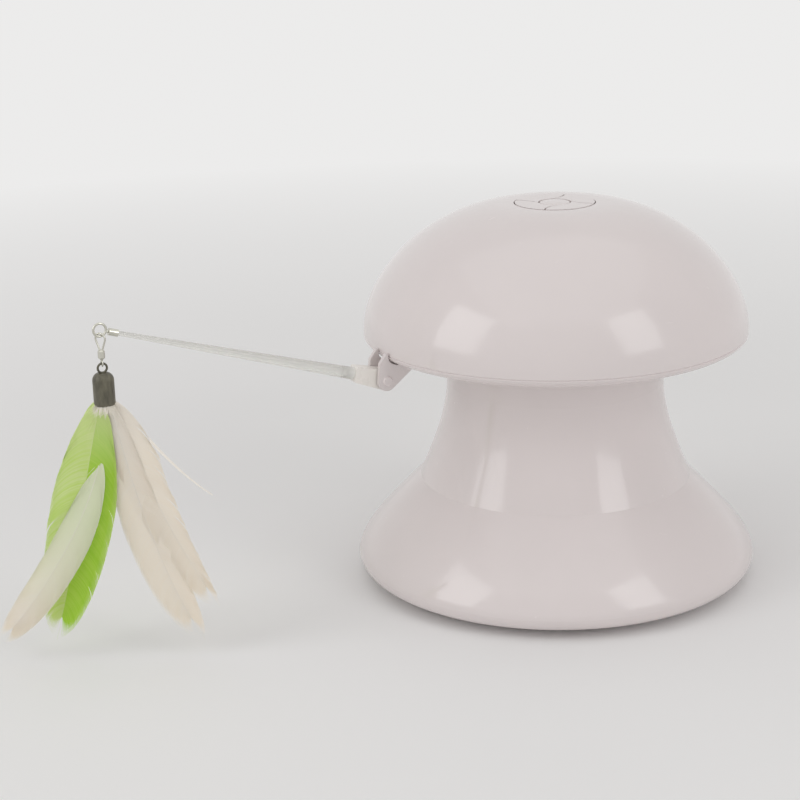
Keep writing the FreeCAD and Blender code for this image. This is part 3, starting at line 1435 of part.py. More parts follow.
SNAP_DROP = hang(D.eyelet_radius, D.eyelet_wire, D.snap_radius, D.snap_wire)
BARREL_TOP = SNAP_DROP + D.snap_length
BARREL_END = BARREL_TOP + D.barrel_length
RING_DROP = BARREL_END + D.shank_show + D.swivel_ring_radius
EYE_DROP = RING_DROP + hang(D.swivel_ring_radius, D.swivel_wire, D.cap_eye_radius, D.cap_eye_wire)
CAP_TOP = EYE_DROP + D.cap_eye_radius + 0.1
CAP_END = CAP_TOP + D.cap_length


def snap_hook():
    """Wire snap: a drop-shaped loop through the eyelet whose legs close on the swivel barrel."""
    body = new_body("snap_hook")
    wire, radius = D.snap_wire, D.snap_radius
    shoulder = 19.0          # how far below level the loop's arc runs on, in degrees
    side = radius * cos(shoulder)
    level = -SNAP_DROP - radius * sin(shoulder)
    end = -BARREL_TOP - 0.4
    root_y = wire + 0.1
    path = new_sketch(body, "snap_path", "YZ_Plane")
    loop = Arc(radius, "right", wide=True)
    outline(path, [(-root_y, end), (-side, level, loop), (side, level), (root_y, end)], closed=False)
    section = circle(new_sketch(body, "snap_section", "XY_Plane", (0, 0, end)), 0, -root_y, wire)
    pipe = body.newObject("PartDesign::AdditivePipe", "snap_pipe")
    pipe.Profile = section
    pipe.Spine = path
    pipe.Transition = "Transformed"
    keep(below_eyelet(body, D.snap_turn))


def swivel():
    """Barrel with its end ring, which spins in it on a short shank."""
    radius, bevel = D.barrel_radius, 0.5
    shank = 0.5
    bore = shank + RUN_CLEAR
    barrel = turned("swivel_barrel", [
        (0, -BARREL_TOP), (0, -BARREL_END + 2), (bore, -BARREL_END + 2), (bore, -BARREL_END),
        (radius - bevel, -BARREL_END), (radius, -BARREL_END + bevel), (radius, -BARREL_TOP - bevel),
        (radius - bevel, -BARREL_TOP),
    ])
    keep(below_eyelet(barrel))
    ring = torus("swivel_loop", D.swivel_ring_radius, D.swivel_wire, 0, 0, -RING_DROP, Y_AXIS, 90.0)
    stem_low = -RING_DROP + D.swivel_ring_radius
    stem = bar("swivel_shank", shank, -BARREL_END + 1.8 - stem_low, 0, 0, stem_low)
    keep(below_eyelet(fuse("swivel_ring", ring, stem)))


def lure_cap():
    """Cap with sloping shoulders that holds the quills, with a moulded eye."""
    radius, bore = D.cap_radius, D.cap_bore
    shoulder = Curve((radius * 0.72, -CAP_TOP - 0.1), (radius, -CAP_TOP - 1.4))
    cap = turned("cap_form", [
        (0, -CAP_TOP), (radius / 2, -CAP_TOP, shoulder), (radius, -CAP_TOP - 3.0), (radius, -CAP_END + 0.8),
        (radius - 0.4, -CAP_END),
        (bore, -CAP_END), (bore, -CAP_END + D.quill_depth), (0, -CAP_END + D.quill_depth),
    ])
    eye = torus("cap_eye", D.cap_eye_radius, D.cap_eye_wire, 0, 0, -EYE_DROP, X_AXIS, 90.0)
    keep(below_eyelet(fuse("lure_cap", cap, eye)))


def feather(label, tip_x, tip_drop, half_width, bow, depth):
    """A flat leaf from the cap to its tip; bow swings its middle sideways."""
    body = new_body(label)
    sketch = new_sketch(body, label + "_outline", "XZ_Plane", (0, 0, -depth - D.feather_thickness / 2))
    side = 1 if tip_x.value > 0 else -1
    start_x = side * size(1.1)
    start_z = -CAP_END + D.quill_depth
    neck_z = -CAP_END - 2.0
    tip_z = -CAP_END - tip_drop
    width = size(0.9)
    outer_x = start_x + side * width
    first = neck_z - tip_drop * 0.3
    second = neck_z - tip_drop * 0.72
    across = side * half_width
    near = Curve((start_x + tip_x * 0.7 + bow + across, second), (start_x + bow * 0.6 + across, first))
    far = Curve((start_x + bow * 0.6 - across * 0.3, first), (start_x + tip_x * 0.7 + bow - across, second))
    inner_x = start_x - side * 0.6
    outline(sketch, [
        (inner_x, start_z), (inner_x, neck_z, far), (tip_x, tip_z, near), (outer_x, neck_z),
        (outer_x, start_z),
    ])
    raise_up(body, sketch, D.feather_thickness)
    return body


def feathers():
    """Two green blades and three white ones, fanned out from the cap in one upright plane."""
    length = D.feather_length
    green = [
        feather("green_blade_1", size(-19.0), length * 0.98, size(9.0), size(-6.0), 0.0),
        feather("green_blade_2", size(-33.0), length * 0.84, size(8.0), size(-5.0), -1.3),
    ]
    white = [
        feather("white_blade_1", size(40.0), length * 0.97, size(9.0), size(-3.0), 0.0),
        feather("white_blade_2", size(46.0), length * 0.83, size(8.0), size(0.5), -1.3),
        feather("white_blade_3", size(-43.0), length, size(7.0), size(1.0), 1.3),
    ]
    for name, blades in (("green_feathers", green), ("white_feathers", white)):
        placed = [below_eyelet(blade, -D.fan_turn) for blade in blades]
        keep(group(name, *placed))


# ---------------------------------------------------------------------------------------------
# Build, check and write
# ---------------------------------------------------------------------------------------------

def build():
    for make in (pedestal_shell, base_plate, rubber_foot_ring, base_screws, battery_cells, battery_contacts,
                 battery_door, usb_inlet, spindle, bearing_rings, head_bush, ring_gear, drive_pinion, gearbox,
                 motor, slip_ring, dome_shell, dome_floor, key_frame, control_board, tact_switches,
                 power_button, speed_keys, brush_block, laser, wand_bracket, wand_socket, wand_rod,
                 tip_eyelet, snap_hook, swivel, lure_cap, feathers):
        make()
    doc.recompute()


def check():
    failed = [item.Label for item in doc.Objects if "Invalid" in item.State or "Error" in item.State]
    for name, piece in PIECES.items():
        if piece.Shape.isNull() or not piece.Shape.isValid() or not piece.Shape.Solids:
            failed.append(name)
    if failed:
        raise RuntimeError("These did not build: " + ", ".join(failed))


def write():
    os.makedirs("parts", exist_ok=True)
    for name, piece in PIECES.items():
        piece.Shape.exportStep(os.path.join("parts", name + ".step"))
        print("%-20s solids %2d  volume %10.1f" % (name, len(piece.Shape.Solids), piece.Shape.Volume))
    print("pieces", len(PIECES))


build()
check()
write()
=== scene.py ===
import json
import math
import random
from collections import namedtuple

import bpy
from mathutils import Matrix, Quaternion, Vector


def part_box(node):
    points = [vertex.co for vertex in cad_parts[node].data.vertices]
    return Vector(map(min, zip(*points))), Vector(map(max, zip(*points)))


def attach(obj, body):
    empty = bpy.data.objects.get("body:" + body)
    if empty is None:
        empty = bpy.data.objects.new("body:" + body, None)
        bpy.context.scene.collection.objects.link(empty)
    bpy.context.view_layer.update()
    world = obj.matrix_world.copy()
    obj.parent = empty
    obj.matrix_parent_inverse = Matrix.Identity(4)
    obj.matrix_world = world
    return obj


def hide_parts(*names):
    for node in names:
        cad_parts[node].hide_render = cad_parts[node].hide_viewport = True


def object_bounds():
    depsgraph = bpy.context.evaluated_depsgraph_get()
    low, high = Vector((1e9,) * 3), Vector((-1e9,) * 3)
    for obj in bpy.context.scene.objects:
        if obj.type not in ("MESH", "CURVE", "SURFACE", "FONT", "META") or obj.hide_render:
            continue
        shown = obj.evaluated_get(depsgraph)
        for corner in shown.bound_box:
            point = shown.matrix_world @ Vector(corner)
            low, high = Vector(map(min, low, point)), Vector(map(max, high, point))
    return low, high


# Automatic cat laser toy, dressed around its CAD frame. Metres, +Z up. The wand points to -X,
# the laser to +X and the power inlet to +Y. Small sizes are written in millimetres as mm(...).

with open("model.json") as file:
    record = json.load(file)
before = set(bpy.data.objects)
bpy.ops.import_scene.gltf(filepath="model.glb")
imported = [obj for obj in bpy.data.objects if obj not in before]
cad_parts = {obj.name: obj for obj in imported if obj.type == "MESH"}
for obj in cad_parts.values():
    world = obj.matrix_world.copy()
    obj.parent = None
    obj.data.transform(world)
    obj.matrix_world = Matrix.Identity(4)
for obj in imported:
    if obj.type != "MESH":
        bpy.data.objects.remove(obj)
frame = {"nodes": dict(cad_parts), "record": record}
CAD_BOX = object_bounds()
NODES = frame["nodes"]


# ---------------------------------------------------------------------------------------------
# Places and directions
# ---------------------------------------------------------------------------------------------

def mm(number):
    return number / 1000


def direction(turn, rise=0.0):
    """The level direction -Y, turned about +Z and then raised."""
    flat = math.cos(rise)
    return Vector((math.sin(turn) * flat, -math.cos(turn) * flat, math.sin(rise)))


def mount_place(name):
    mounts = frame["record"]["mounts"]
    return Vector(next(mount["pos_m"] for mount in mounts if mount["name"] == name))


UP = Vector((0, 0, 1))
EYELET = mount_place("lure_eyelet")
CAP_LOW, CAP_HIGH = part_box("lure_cap")
CAP_MOUTH = Vector((EYELET.x, EYELET.y, CAP_LOW.z))
CAP_RADIUS = (CAP_HIGH.y - CAP_LOW.y) / 2
CELL_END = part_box("battery_cells")[1].y      # the cells lie along Y, with their middle at 0
FAN_TURN = math.radians(-31)      # the feathers fan out in an upright plane turned this far from XZ
FAN_RIGHT = Vector((math.cos(FAN_TURN), math.sin(FAN_TURN), 0))
FAN_FRONT = direction(FAN_TURN)
WAND_PITCH = math.radians(17.45)  # how steeply the rod rises towards its tip
WAND_AHEAD = Vector((-math.cos(WAND_PITCH), 0, math.sin(WAND_PITCH)))


# ---------------------------------------------------------------------------------------------
# Node graphs
# ---------------------------------------------------------------------------------------------

def is_socket(value):
    return isinstance(value, bpy.types.NodeSocket)


def rgba(colour):
    """A colour with an alpha of 1. A node's output stays as it is."""
    return colour if is_socket(colour) else (*colour, 1.0)


def darker(colour, share):
    return tuple(part * (1 - share) for part in colour)


class Graph:
    """The node graph of a new material or world, written one node at a time."""

    def __init__(self, name, kind="Material"):
        makers = {"Material": bpy.data.materials, "World": bpy.data.worlds}
        self.owner = makers[kind].new(name)
        self.owner.use_nodes = True
        self.tree = self.owner.node_tree
        self.tree.nodes.clear()
        self.output = self.node("Output" + kind)

    def node(self, kind, inputs=None, **settings):
        """A new node. Its inputs go by name, or by number where two have the same name."""
        made = self.tree.nodes.new("ShaderNode" + kind)
        for name, value in settings.items():
            setattr(made, name, value)
        for key, value in (inputs or {}).items():
            self.feed(made.inputs[key], value)
        return made

    def feed(self, socket, value):
        """Link a node's output to the socket, or set the socket to a plain value."""
        if is_socket(value):
            self.tree.links.new(value, socket)
        else:
            socket.default_value = value

    def place(self, stretch=(1, 1, 1), turn=(0, 0, 0)):
        """Coordinates in metres that stay with the piece, stretched and then turned."""
        where = self.node("TexCoord").outputs["Object"]
        return self.node("Mapping", {"Vector": where, "Scale": stretch, "Rotation": turn}).outputs[0]

    def noise(self, where, scale, detail, roughness=0.5):
        """Noise between 0 and 1, with about scale patches to a unit of the coordinates."""
        inputs = {"Vector": where, "Scale": scale, "Detail": detail, "Roughness": roughness}
        return self.node("TexNoise", inputs).outputs[0]

    def remap(self, value, between, to=(0.0, 1.0)):
        """Map a value's range to another, held at both ends."""
        inputs = {"Value": value, "From Min": between[0], "From Max": between[1],
                  "To Min": to[0], "To Max": to[1]}
        return self.node("MapRange", inputs).outputs[0]

    def mottle(self, scale, detail, between, to=(0.0, 1.0), stretch=(1, 1, 1)):
        """Noise over the piece, with its range mapped to another."""
        return self.remap(self.noise(self.place(stretch), scale, detail), between, to)

    def maths(self, operation, first, second=0.0):
        return self.node("Math", {0: first, 1: second}, operation=operation).outputs[0]

    def blend(self, factor, first, second):
        """Mix two colours. A Mix node has its colours at inputs 6 and 7 and at output 2."""
        inputs = {0: factor, 6: rgba(first), 7: rgba(second)}
        return self.node("Mix", inputs, data_type="RGBA").outputs[2]

    def bump(self, height, distance, strength, normal=None):
        made = self.node("Bump", {"Height": height, "Distance": distance, "Strength": strength})
        if normal:
            self.feed(made.inputs["Normal"], normal)
        return made.outputs[0]

    def grain(self, scale, detail, distance, strength, normal=None, stretch=(1, 1, 1)):
        """A bump of noise over the piece."""
        return self.bump(self.noise(self.place(stretch), scale, detail), distance, strength, normal)

    def principled(self, colour, roughness, normal=None, **settings):
        """The named settings are the shader's own sockets, with _ for a space."""
        made = self.node("BsdfPrincipled", {"Base Color": rgba(colour), "Roughness": roughness})
        for name, value in settings.items():
            self.feed(made.inputs[name.replace("_", " ")], value)
        if normal:
            self.feed(made.inputs["Normal"], normal)
        return made.outputs[0]

    def mix_shaders(self, factor, first, second):
        return self.node("MixShader", {0: factor, 1: first, 2: second}).outputs[0]

    def surface(self, shader):
        """End the graph with its shader. Gives the finished material or world."""
        self.feed(self.output.inputs["Surface"], shader)
        return self.owner


# ---------------------------------------------------------------------------------------------
# Materials
# ---------------------------------------------------------------------------------------------

WHITE = (0.80, 0.735, 0.73)
DUST = (0.55, 0.53, 0.52)


def wiping_marks(graph, first_turn, second_turn):
    """Two sets of sparse fine marks along X, as 0 or 1. The turns only make their noise differ."""
    noises = (graph.noise(graph.place((40, 900, 300), turn), scale=1.0, detail=3.0, roughness=0.6)
              for turn in (first_turn, second_turn))
    return graph.maths("MAXIMUM", *(graph.remap(noise, (0.70, 0.76)) for noise in noises))


def moulded_gloss(name, colour, roughness):
    """Polished moulded plastic: faint flow shading, orange peel, wiping marks and dust."""
    graph = Graph(name)
    flow = graph.mottle(scale=16, detail=3, between=(0.35, 0.7))
    tinted = graph.blend(flow, colour, darker(colour, 0.035))
    dust = graph.mottle(scale=1500, detail=1, between=(0.80, 0.84))
    tinted = graph.blend(graph.maths("MULTIPLY", dust, 0.35), tinted, DUST)
    marks = wiping_marks(graph, (0.3, 0.2, 0.9), (1.2, 0.5, 2.4))
    polish = (roughness - 0.03, roughness + 0.06)
    uneven = graph.mottle(scale=45, detail=4, between=(0.3, 0.75), to=polish)
    rough = graph.maths("ADD", uneven, graph.maths("MULTIPLY", marks, 0.14))
    peel = graph.grain(scale=330, detail=2, distance=mm(0.03), strength=0.35)
    return graph.surface(graph.principled(tinted, rough, peel, IOR=1.5, Coat_Weight=0.25,
                                          Coat_Roughness=0.05))


def moulded_satin(name, colour, roughness, grain=0.03, patches=30, shade=0.05):
    """Plastic from an eroded mould: a fine even grain and faint upright flow marks.

    The grain is its depth in millimetres, the patches are the flow marks to a metre, and the
    shade is the share by which they are darker.
    """
    graph = Graph(name)
    flow = graph.mottle(scale=patches, detail=3, between=(0.3, 0.7), stretch=(1, 1, 0.35))
    tinted = graph.blend(flow, colour, darker(colour, shade))
    polish = (roughness - 0.06, roughness + 0.08)
    rough = graph.mottle(scale=120, detail=3, between=(0.3, 0.7), to=polish)
    fine = graph.grain(scale=3200, detail=2, distance=mm(grain), strength=0.6)
    broad = graph.grain(scale=500, detail=2, distance=mm(0.02), strength=0.4, normal=fine)
    return graph.surface(graph.principled(tinted, rough, broad, IOR=1.5))


def clear_plastic():
    """Clear acrylic with faint drawing lines along the rod. It turns milky near the socket's mouth:
    painted light where the bore behind it would render dark.
    """
    painted_light_milky, clear = 0.05, 0.72         # transmission at the socket's mouth, milky there as painted light, and further out
    clearing = mm(6)                  # distance from the mouth over which the rod turns clear
    graph = Graph("clear_plastic")
    laid = graph.place(turn=(0, -WAND_PITCH, 0))       # the rod lies along X here, its tip towards -X
    drawn = graph.node("Mapping", {"Vector": laid, "Scale": (12, 1400, 1400)})
    lines = graph.noise(drawn.outputs[0], scale=1.0, detail=2)
    normal = graph.bump(lines, mm(0.004), 0.1)
    rough = graph.remap(lines, (0.3, 0.8), (0.03, 0.12))
    reach = graph.node("SeparateXYZ", {"Vector": laid}).outputs["X"]
    mouth = -max(corner.co @ WAND_AHEAD for corner in NODES["wand_socket"].data.vertices)
    # painted light: the rod turns milky towards the socket's mouth, so that the bore behind it does not
    # render dark
    transmission = graph.remap(reach, (mouth - clearing, mouth), (clear, painted_light_milky))
    return graph.surface(graph.principled((0.86, 0.855, 0.82), rough, normal, IOR=1.49,
                                          Transmission_Weight=transmission))


def metal(name, colour, roughness, scratch=0.12, grain=0.02):
    """Bare metal with fine scratches and slightly uneven polish. The grain is in millimetres."""
    graph = Graph(name)
    marks = wiping_marks(graph, (0.4, 0.9, 0.2), (1.9, 0.2, 1.1))
    dull = graph.mottle(scale=240, detail=4, between=(0.3, 0.75))
    tinted = graph.blend(graph.maths("MULTIPLY", dull, 0.5), colour, darker(colour, 0.25))
    rough = graph.remap(dull, (0.0, 1.0), (roughness - 0.06, roughness + 0.08))
    rough = graph.maths("ADD", rough, graph.maths("MULTIPLY", marks, scratch))
    normal = graph.grain(scale=2600, detail=2, distance=mm(grain), strength=0.5, stretch=(1, 1, 6))
    return graph.surface(graph.principled(tinted, rough, normal, Metallic=1.0))


def rubber():
    graph = Graph("rubber_black")
    worn = graph.mottle(scale=90, detail=4, between=(0.4, 0.7))
    tinted = graph.blend(worn, (0.035, 0.035, 0.037), (0.075, 0.073, 0.07))
    rough = graph.remap(worn, (0.0, 1.0), (0.55, 0.72))
    normal = graph.grain(scale=1800, detail=3, distance=mm(0.05), strength=0.6)
    return graph.surface(graph.principled(tinted, rough, normal))


def circuit_board():
    """Green solder mask over a net of tracks, with tinned pads."""
    graph = Graph("circuit_board")
    where = graph.place()
    tracks = graph.node("TexBrick", {
        "Vector": where, "Scale": 190.0, "Mortar Size": 0.05,
        "Color1": rgba((0.01, 0.11, 0.05)),
        "Color2": rgba((0.013, 0.13, 0.06)),
        "Mortar": rgba((0.03, 0.24, 0.10)),
    }, offset=0.33)
    cells = graph.node("TexVoronoi", {"Vector": where, "Scale": 260.0}).outputs["Distance"]
    pads = graph.remap(cells, (0.10, 0.14), (1.0, 0.0))
    tinted = graph.blend(pads, tracks.outputs["Color"], (0.62, 0.60, 0.55))
    rough = graph.remap(pads, (0.0, 1.0), (0.32, 0.22))
    normal = graph.bump(tracks.outputs["Fac"], mm(0.04), 0.6)
    return graph.surface(graph.principled(tinted, rough, normal, Coat_Weight=0.2))


def cell_jacket():
    """Battery film: dark body with a copper-coloured band and bare metal at each end."""
    bare, band, edge = mm(0.8), mm(10), mm(0.2)        # lengths at a cell's end, and their blur
    graph = Graph("cell_jacket")
    along = graph.node("SeparateXYZ", {"Vector": graph.place()}).outputs["Y"]
    reach = graph.maths("ABSOLUTE", along)
    ends = graph.remap(reach, (CELL_END - bare, CELL_END - bare + edge))
    bands = graph.remap(reach, (CELL_END - band, CELL_END - band + edge))
    film = graph.blend(bands, (0.05, 0.05, 0.055), (0.62, 0.33, 0.16))
    wrinkle = graph.noise(graph.place((1, 6, 1)), scale=180, detail=3)
    tinted = graph.blend(ends, film, (0.70, 0.70, 0.72))
    rough = graph.remap(wrinkle, (0.3, 0.7), (0.24, 0.40))
    normal = graph.bump(wrinkle, mm(0.04), 0.4)
    return graph.surface(graph.principled(tinted, rough, normal, Metallic=ends))


def lens_glass():
    graph = Graph("lens")
    rough = graph.mottle(scale=900, detail=2, between=(0.3, 0.7), to=(0.02, 0.08))
    return graph.surface(graph.principled((0.80, 0.10, 0.08), rough, IOR=1.52, Transmission_Weight=0.8))


MATERIALS = {
    "white_shell": moulded_gloss("white_shell", WHITE, 0.16),
    "white_floor": moulded_satin("white_floor", (0.80, 0.74, 0.735), 0.38),
    "inner_plastic": moulded_satin("inner_plastic", (0.74, 0.73, 0.70), 0.5),
    "dark_plastic": moulded_satin("dark_plastic", (0.168, 0.156, 0.108), 0.44, grain=0.06,
                                  patches=420, shade=0.58),
    "socket_nylon": moulded_satin("socket_nylon", (0.90, 0.865, 0.815), 0.30),
    "gear_plastic": moulded_satin("gear_plastic", (0.80, 0.77, 0.66), 0.32),
    "clear_plastic": clear_plastic(),
    "white_keys": moulded_gloss("white_keys", WHITE, 0.22),
    "rubber_black": rubber(),
    "steel": metal("steel", (0.56, 0.56, 0.57), 0.34),
    "bright_wire": metal("bright_wire", (0.64, 0.63, 0.56), 0.19, scratch=0.08, grain=0.004),
    "brass_metal": metal("brass_metal", (0.72, 0.52, 0.22), 0.28),
    "bronze_bush": metal("bronze_bush", (0.50, 0.32, 0.17), 0.46),
    "circuit_board": circuit_board(),
    "cell_jacket": cell_jacket(),
    "lens": lens_glass(),
}
PAINTED = {
    "wand_pin": "white_shell",        # its heads are painted like the cheeks round them
    "wand_socket": "socket_nylon",    # a warmer, brighter white than the housings
}


def paint_frame():
    """Give every CAD node the finish of its record slot, or its own in PAINTED."""
    for part in frame["record"]["subparts"]:
        finish = MATERIALS.get(PAINTED.get(part["node"], part["material_slot"]))
        if finish:                    # the feathers' CAD blades have none: they are replaced
            mesh = NODES[part["node"]].data
            mesh.materials.clear()
            mesh.materials.append(finish)


# ---------------------------------------------------------------------------------------------
# Stage, light and camera
# ---------------------------------------------------------------------------------------------

TOY_MIDDLE = Vector((0, 0, CAD_BOX[1].z / 2))
CAMERA_TURN = FAN_TURN            # the view is square on to the fan of feathers
CAMERA_RISE = math.radians(16.7)
CAMERA_DISTANCE = 0.85
FRAME_WIDTH = 0.362               # width of the view at the toy's distance
AIM_RIGHT = -0.070                # from the toy's middle to the view's: the lure hangs far to the left
AIM_DOWN = 0.006
AMBIENT = (1.0, 0.98, 0.965)
AMBIENT_STRENGTH = 0.50
BACKDROP = (0.84, 0.835, 0.83)
FLOOR_REACH = 3.0                 # from the toy's axis to each edge of the floor
BOARD_END, BACKDROP_START = 0.30, 1.1     # the floor fades between these distances from the axis


def new_object(name, data):
    made = bpy.data.objects.new(name, data)
    bpy.context.scene.collection.objects.link(made)
    return made


def make_camera():
    camera = new_object("camera", bpy.data.cameras.new("camera"))
    camera.location = TOY_MIDDLE + direction(CAMERA_TURN, CAMERA_RISE) * CAMERA_DISTANCE
    towards = (TOY_MIDDLE - UP * AIM_DOWN - camera.location).to_track_quat("-Z", "Y")
    pan = Quaternion((0, 1, 0), math.atan2(-AIM_RIGHT, CAMERA_DISTANCE))
    camera.rotation_mode = "QUATERNION"
    camera.rotation_quaternion = towards @ pan
    camera.data.lens = camera.data.sensor_width * CAMERA_DISTANCE / FRAME_WIDTH
    bpy.context.scene.camera = camera


def softbox(name, turn, rise, distance, width, height, power):
    """An area lamp that faces the toy; turn is measured from the camera's own side."""
    lamp = bpy.data.lights.new(name, "AREA")
    lamp.shape = "RECTANGLE"
    lamp.size = width
    lamp.size_y = height
    lamp.energy = power
    holder = new_object(name, lamp)
    back = direction(CAMERA_TURN + math.radians(turn), math.radians(rise))
    holder.location = TOY_MIDDLE + back * distance
    holder.rotation_mode = "QUATERNION"
    holder.rotation_quaternion = (-back).to_track_quat("-Z", "Y")


def make_lights():
    softbox("softbox_left", turn=-60, rise=27, distance=1.5, width=0.74, height=0.95, power=3.8)
    softbox("softbox_right", turn=52, rise=28, distance=1.5, width=0.62, height=0.92, power=3.2)
    softbox("overhead", turn=10, rise=82, distance=1.8, width=2.6, height=2.6, power=6.5)


def seen_rays(graph):
    """1 for the rays that see the background itself, 0 for those that only gather light from it."""
    rays = graph.node("LightPath").outputs
    seen = graph.maths("MAXIMUM", rays["Is Camera Ray"], rays["Is Glossy Ray"])
    return graph.maths("MAXIMUM", seen, rays["Is Transmission Ray"])


def make_world():
    """Soft ambient light, with a pale background for the camera and for reflections."""
    graph = Graph("studio", "World")
    ambient = graph.node("Background", {"Color": rgba(AMBIENT), "Strength": AMBIENT_STRENGTH})
    backdrop = graph.node("Background", {"Color": rgba(BACKDROP)})
    mixed = graph.mix_shaders(seen_rays(graph), ambient.outputs[0], backdrop.outputs[0])
    bpy.context.scene.world = graph.surface(mixed)


def floor_paint():
    """Pale matt board near the toy that turns into the even backdrop further out."""
    graph = Graph("studio_floor")
    cloud = graph.mottle(scale=3.0, detail=3, between=(0.3, 0.7))
    tinted = graph.blend(cloud, (0.93, 0.93, 0.93), (0.905, 0.905, 0.905))
    board = graph.principled(tinted, 0.75)
    far = graph.node("VectorMath", {"Vector": graph.place()}, operation="LENGTH").outputs["Value"]
    fade = graph.maths("MULTIPLY", graph.remap(far, (BOARD_END, BACKDROP_START)), seen_rays(graph))
    backdrop = graph.node("Emission", {"Color": rgba(BACKDROP), "Strength": 1.0})
    return graph.surface(graph.mix_shaders(fade, board, backdrop.outputs[0]))


def make_floor():
    mesh = bpy.data.meshes.new("floor")
    corners = [(x * FLOOR_REACH, y * FLOOR_REACH, 0) for x, y in ((-1, -1), (1, -1), (1, 1), (-1, 1))]
    mesh.from_pydata(corners, [], [(0, 1, 2, 3)])
    mesh.materials.append(floor_paint())
    new_object("floor", mesh)


# ---------------------------------------------------------------------------------------------
# Feathers
# ---------------------------------------------------------------------------------------------

# What a feather material reads at each corner: the tone from 0 for pale to 1 for deep, how far out
# from the quill and how far along it the corner is, as shares, and 1 where it is on the quill.
Look = namedtuple("Look", "tone across along quill", defaults=(0.0,))


def feather_material(name, deep, light, pale, foot=None, foot_end=0.34, foot_start=0.08):
    """A vane whose barbs run from pale to deep, each with its own tone; light comes through the web.

    The vane turns to the foot colour between two shares of its length, foot_end and foot_start.
    """
    graph = Graph(name)
    look = graph.node("Attribute", attribute_name="look")
    parts = graph.node("SeparateColor", {"Color": look.outputs["Color"]})
    tone, across, along = (parts.outputs[index] for index in range(3))
    quill = look.outputs["Alpha"]
    body = graph.blend(graph.remap(tone, (0.0, 0.5)), pale, light)
    body = graph.blend(graph.remap(tone, (0.5, 1.0)), body, deep)
    patches = graph.mottle(scale=130, detail=3, between=(0.42, 0.70))
    body = graph.blend(graph.maths("MULTIPLY", patches, 0.30), body, light)
    body = graph.blend(graph.remap(across, (0.70, 1.0), (0.0, 0.45)), body, pale)
    body = graph.blend(graph.remap(along, (foot_end, foot_start), (0.0, 0.85)), body, foot or pale)
    body = graph.blend(graph.maths("MULTIPLY", quill, 0.6), body, pale)
    rough = graph.remap(across, (0.0, 1.0), (0.62, 0.48))
    fine = graph.grain(scale=2600, detail=2, distance=mm(0.05), strength=0.4)
    skin = graph.principled(body, rough, fine, Specular_IOR_Level=0.3, Sheen_Weight=0.3,
                            Sheen_Roughness=0.4)
    glow = graph.node("BsdfTranslucent", {"Color": body})
    return graph.surface(graph.mix_shaders(0.2, skin, glow.outputs[0]))


class Ribbons:
    """A mesh of fine ribbons. Places are (right, down, front) in millimetres from the cap's mouth."""

    THREAD_SPANS = 12                 # faces along one thread
    THREAD_TAPER = 0.75               # share of its width that a thread has lost at its end

    def __init__(self, name, seed):
        self.name = name
        self.random = random.Random(seed)
        self.corners = []
        self.faces = []
        self.looks = []

    @staticmethod
    def spot(place):
        """A place's point in the frame."""
        right, down, front = place
        return CAP_MOUTH + FAN_RIGHT * mm(right) - UP * mm(down) + FAN_FRONT * mm(front)

    def ribbon(self, pairs, looks):
        """A strip of faces through pairs of points, with one look for each pair."""
        first = len(self.corners)
        for step, (pair, look) in enumerate(zip(pairs, looks)):
            self.corners += pair
            self.looks += [look] * 2
            if step:
                last = first + 2 * step
                self.faces.append((last - 2, last - 1, last + 1, last))

    def add_thread(self, start, bend, end, width, look, across=UP):
        """A fine ribbon from start to end that curves towards bend and thins on its way."""
        pairs, looks = [], []
        for step in range(self.THREAD_SPANS + 1):
            out = step / self.THREAD_SPANS
            point = start * (1 - out) ** 2 + bend * 2 * out * (1 - out) + end * out**2
            flat = across * width * (1 - self.THREAD_TAPER * out) / 2
            pairs.append((point - flat, point + flat))
            looks.append(look)
        self.ribbon(pairs, looks)

    def build(self, material, slot):
        mesh = bpy.data.meshes.new(self.name)
        mesh.from_pydata(self.corners, [], self.faces)
        colours = mesh.color_attributes.new("look", "FLOAT_COLOR", "POINT")
        colours.data.foreach_set("color", [part for look in self.looks for part in look])
        mesh.polygons.foreach_set("use_smooth", [True] * len(mesh.polygons))
        mesh.materials.append(material)
        piece = new_object(self.name, mesh)
        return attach(piece, "lure")


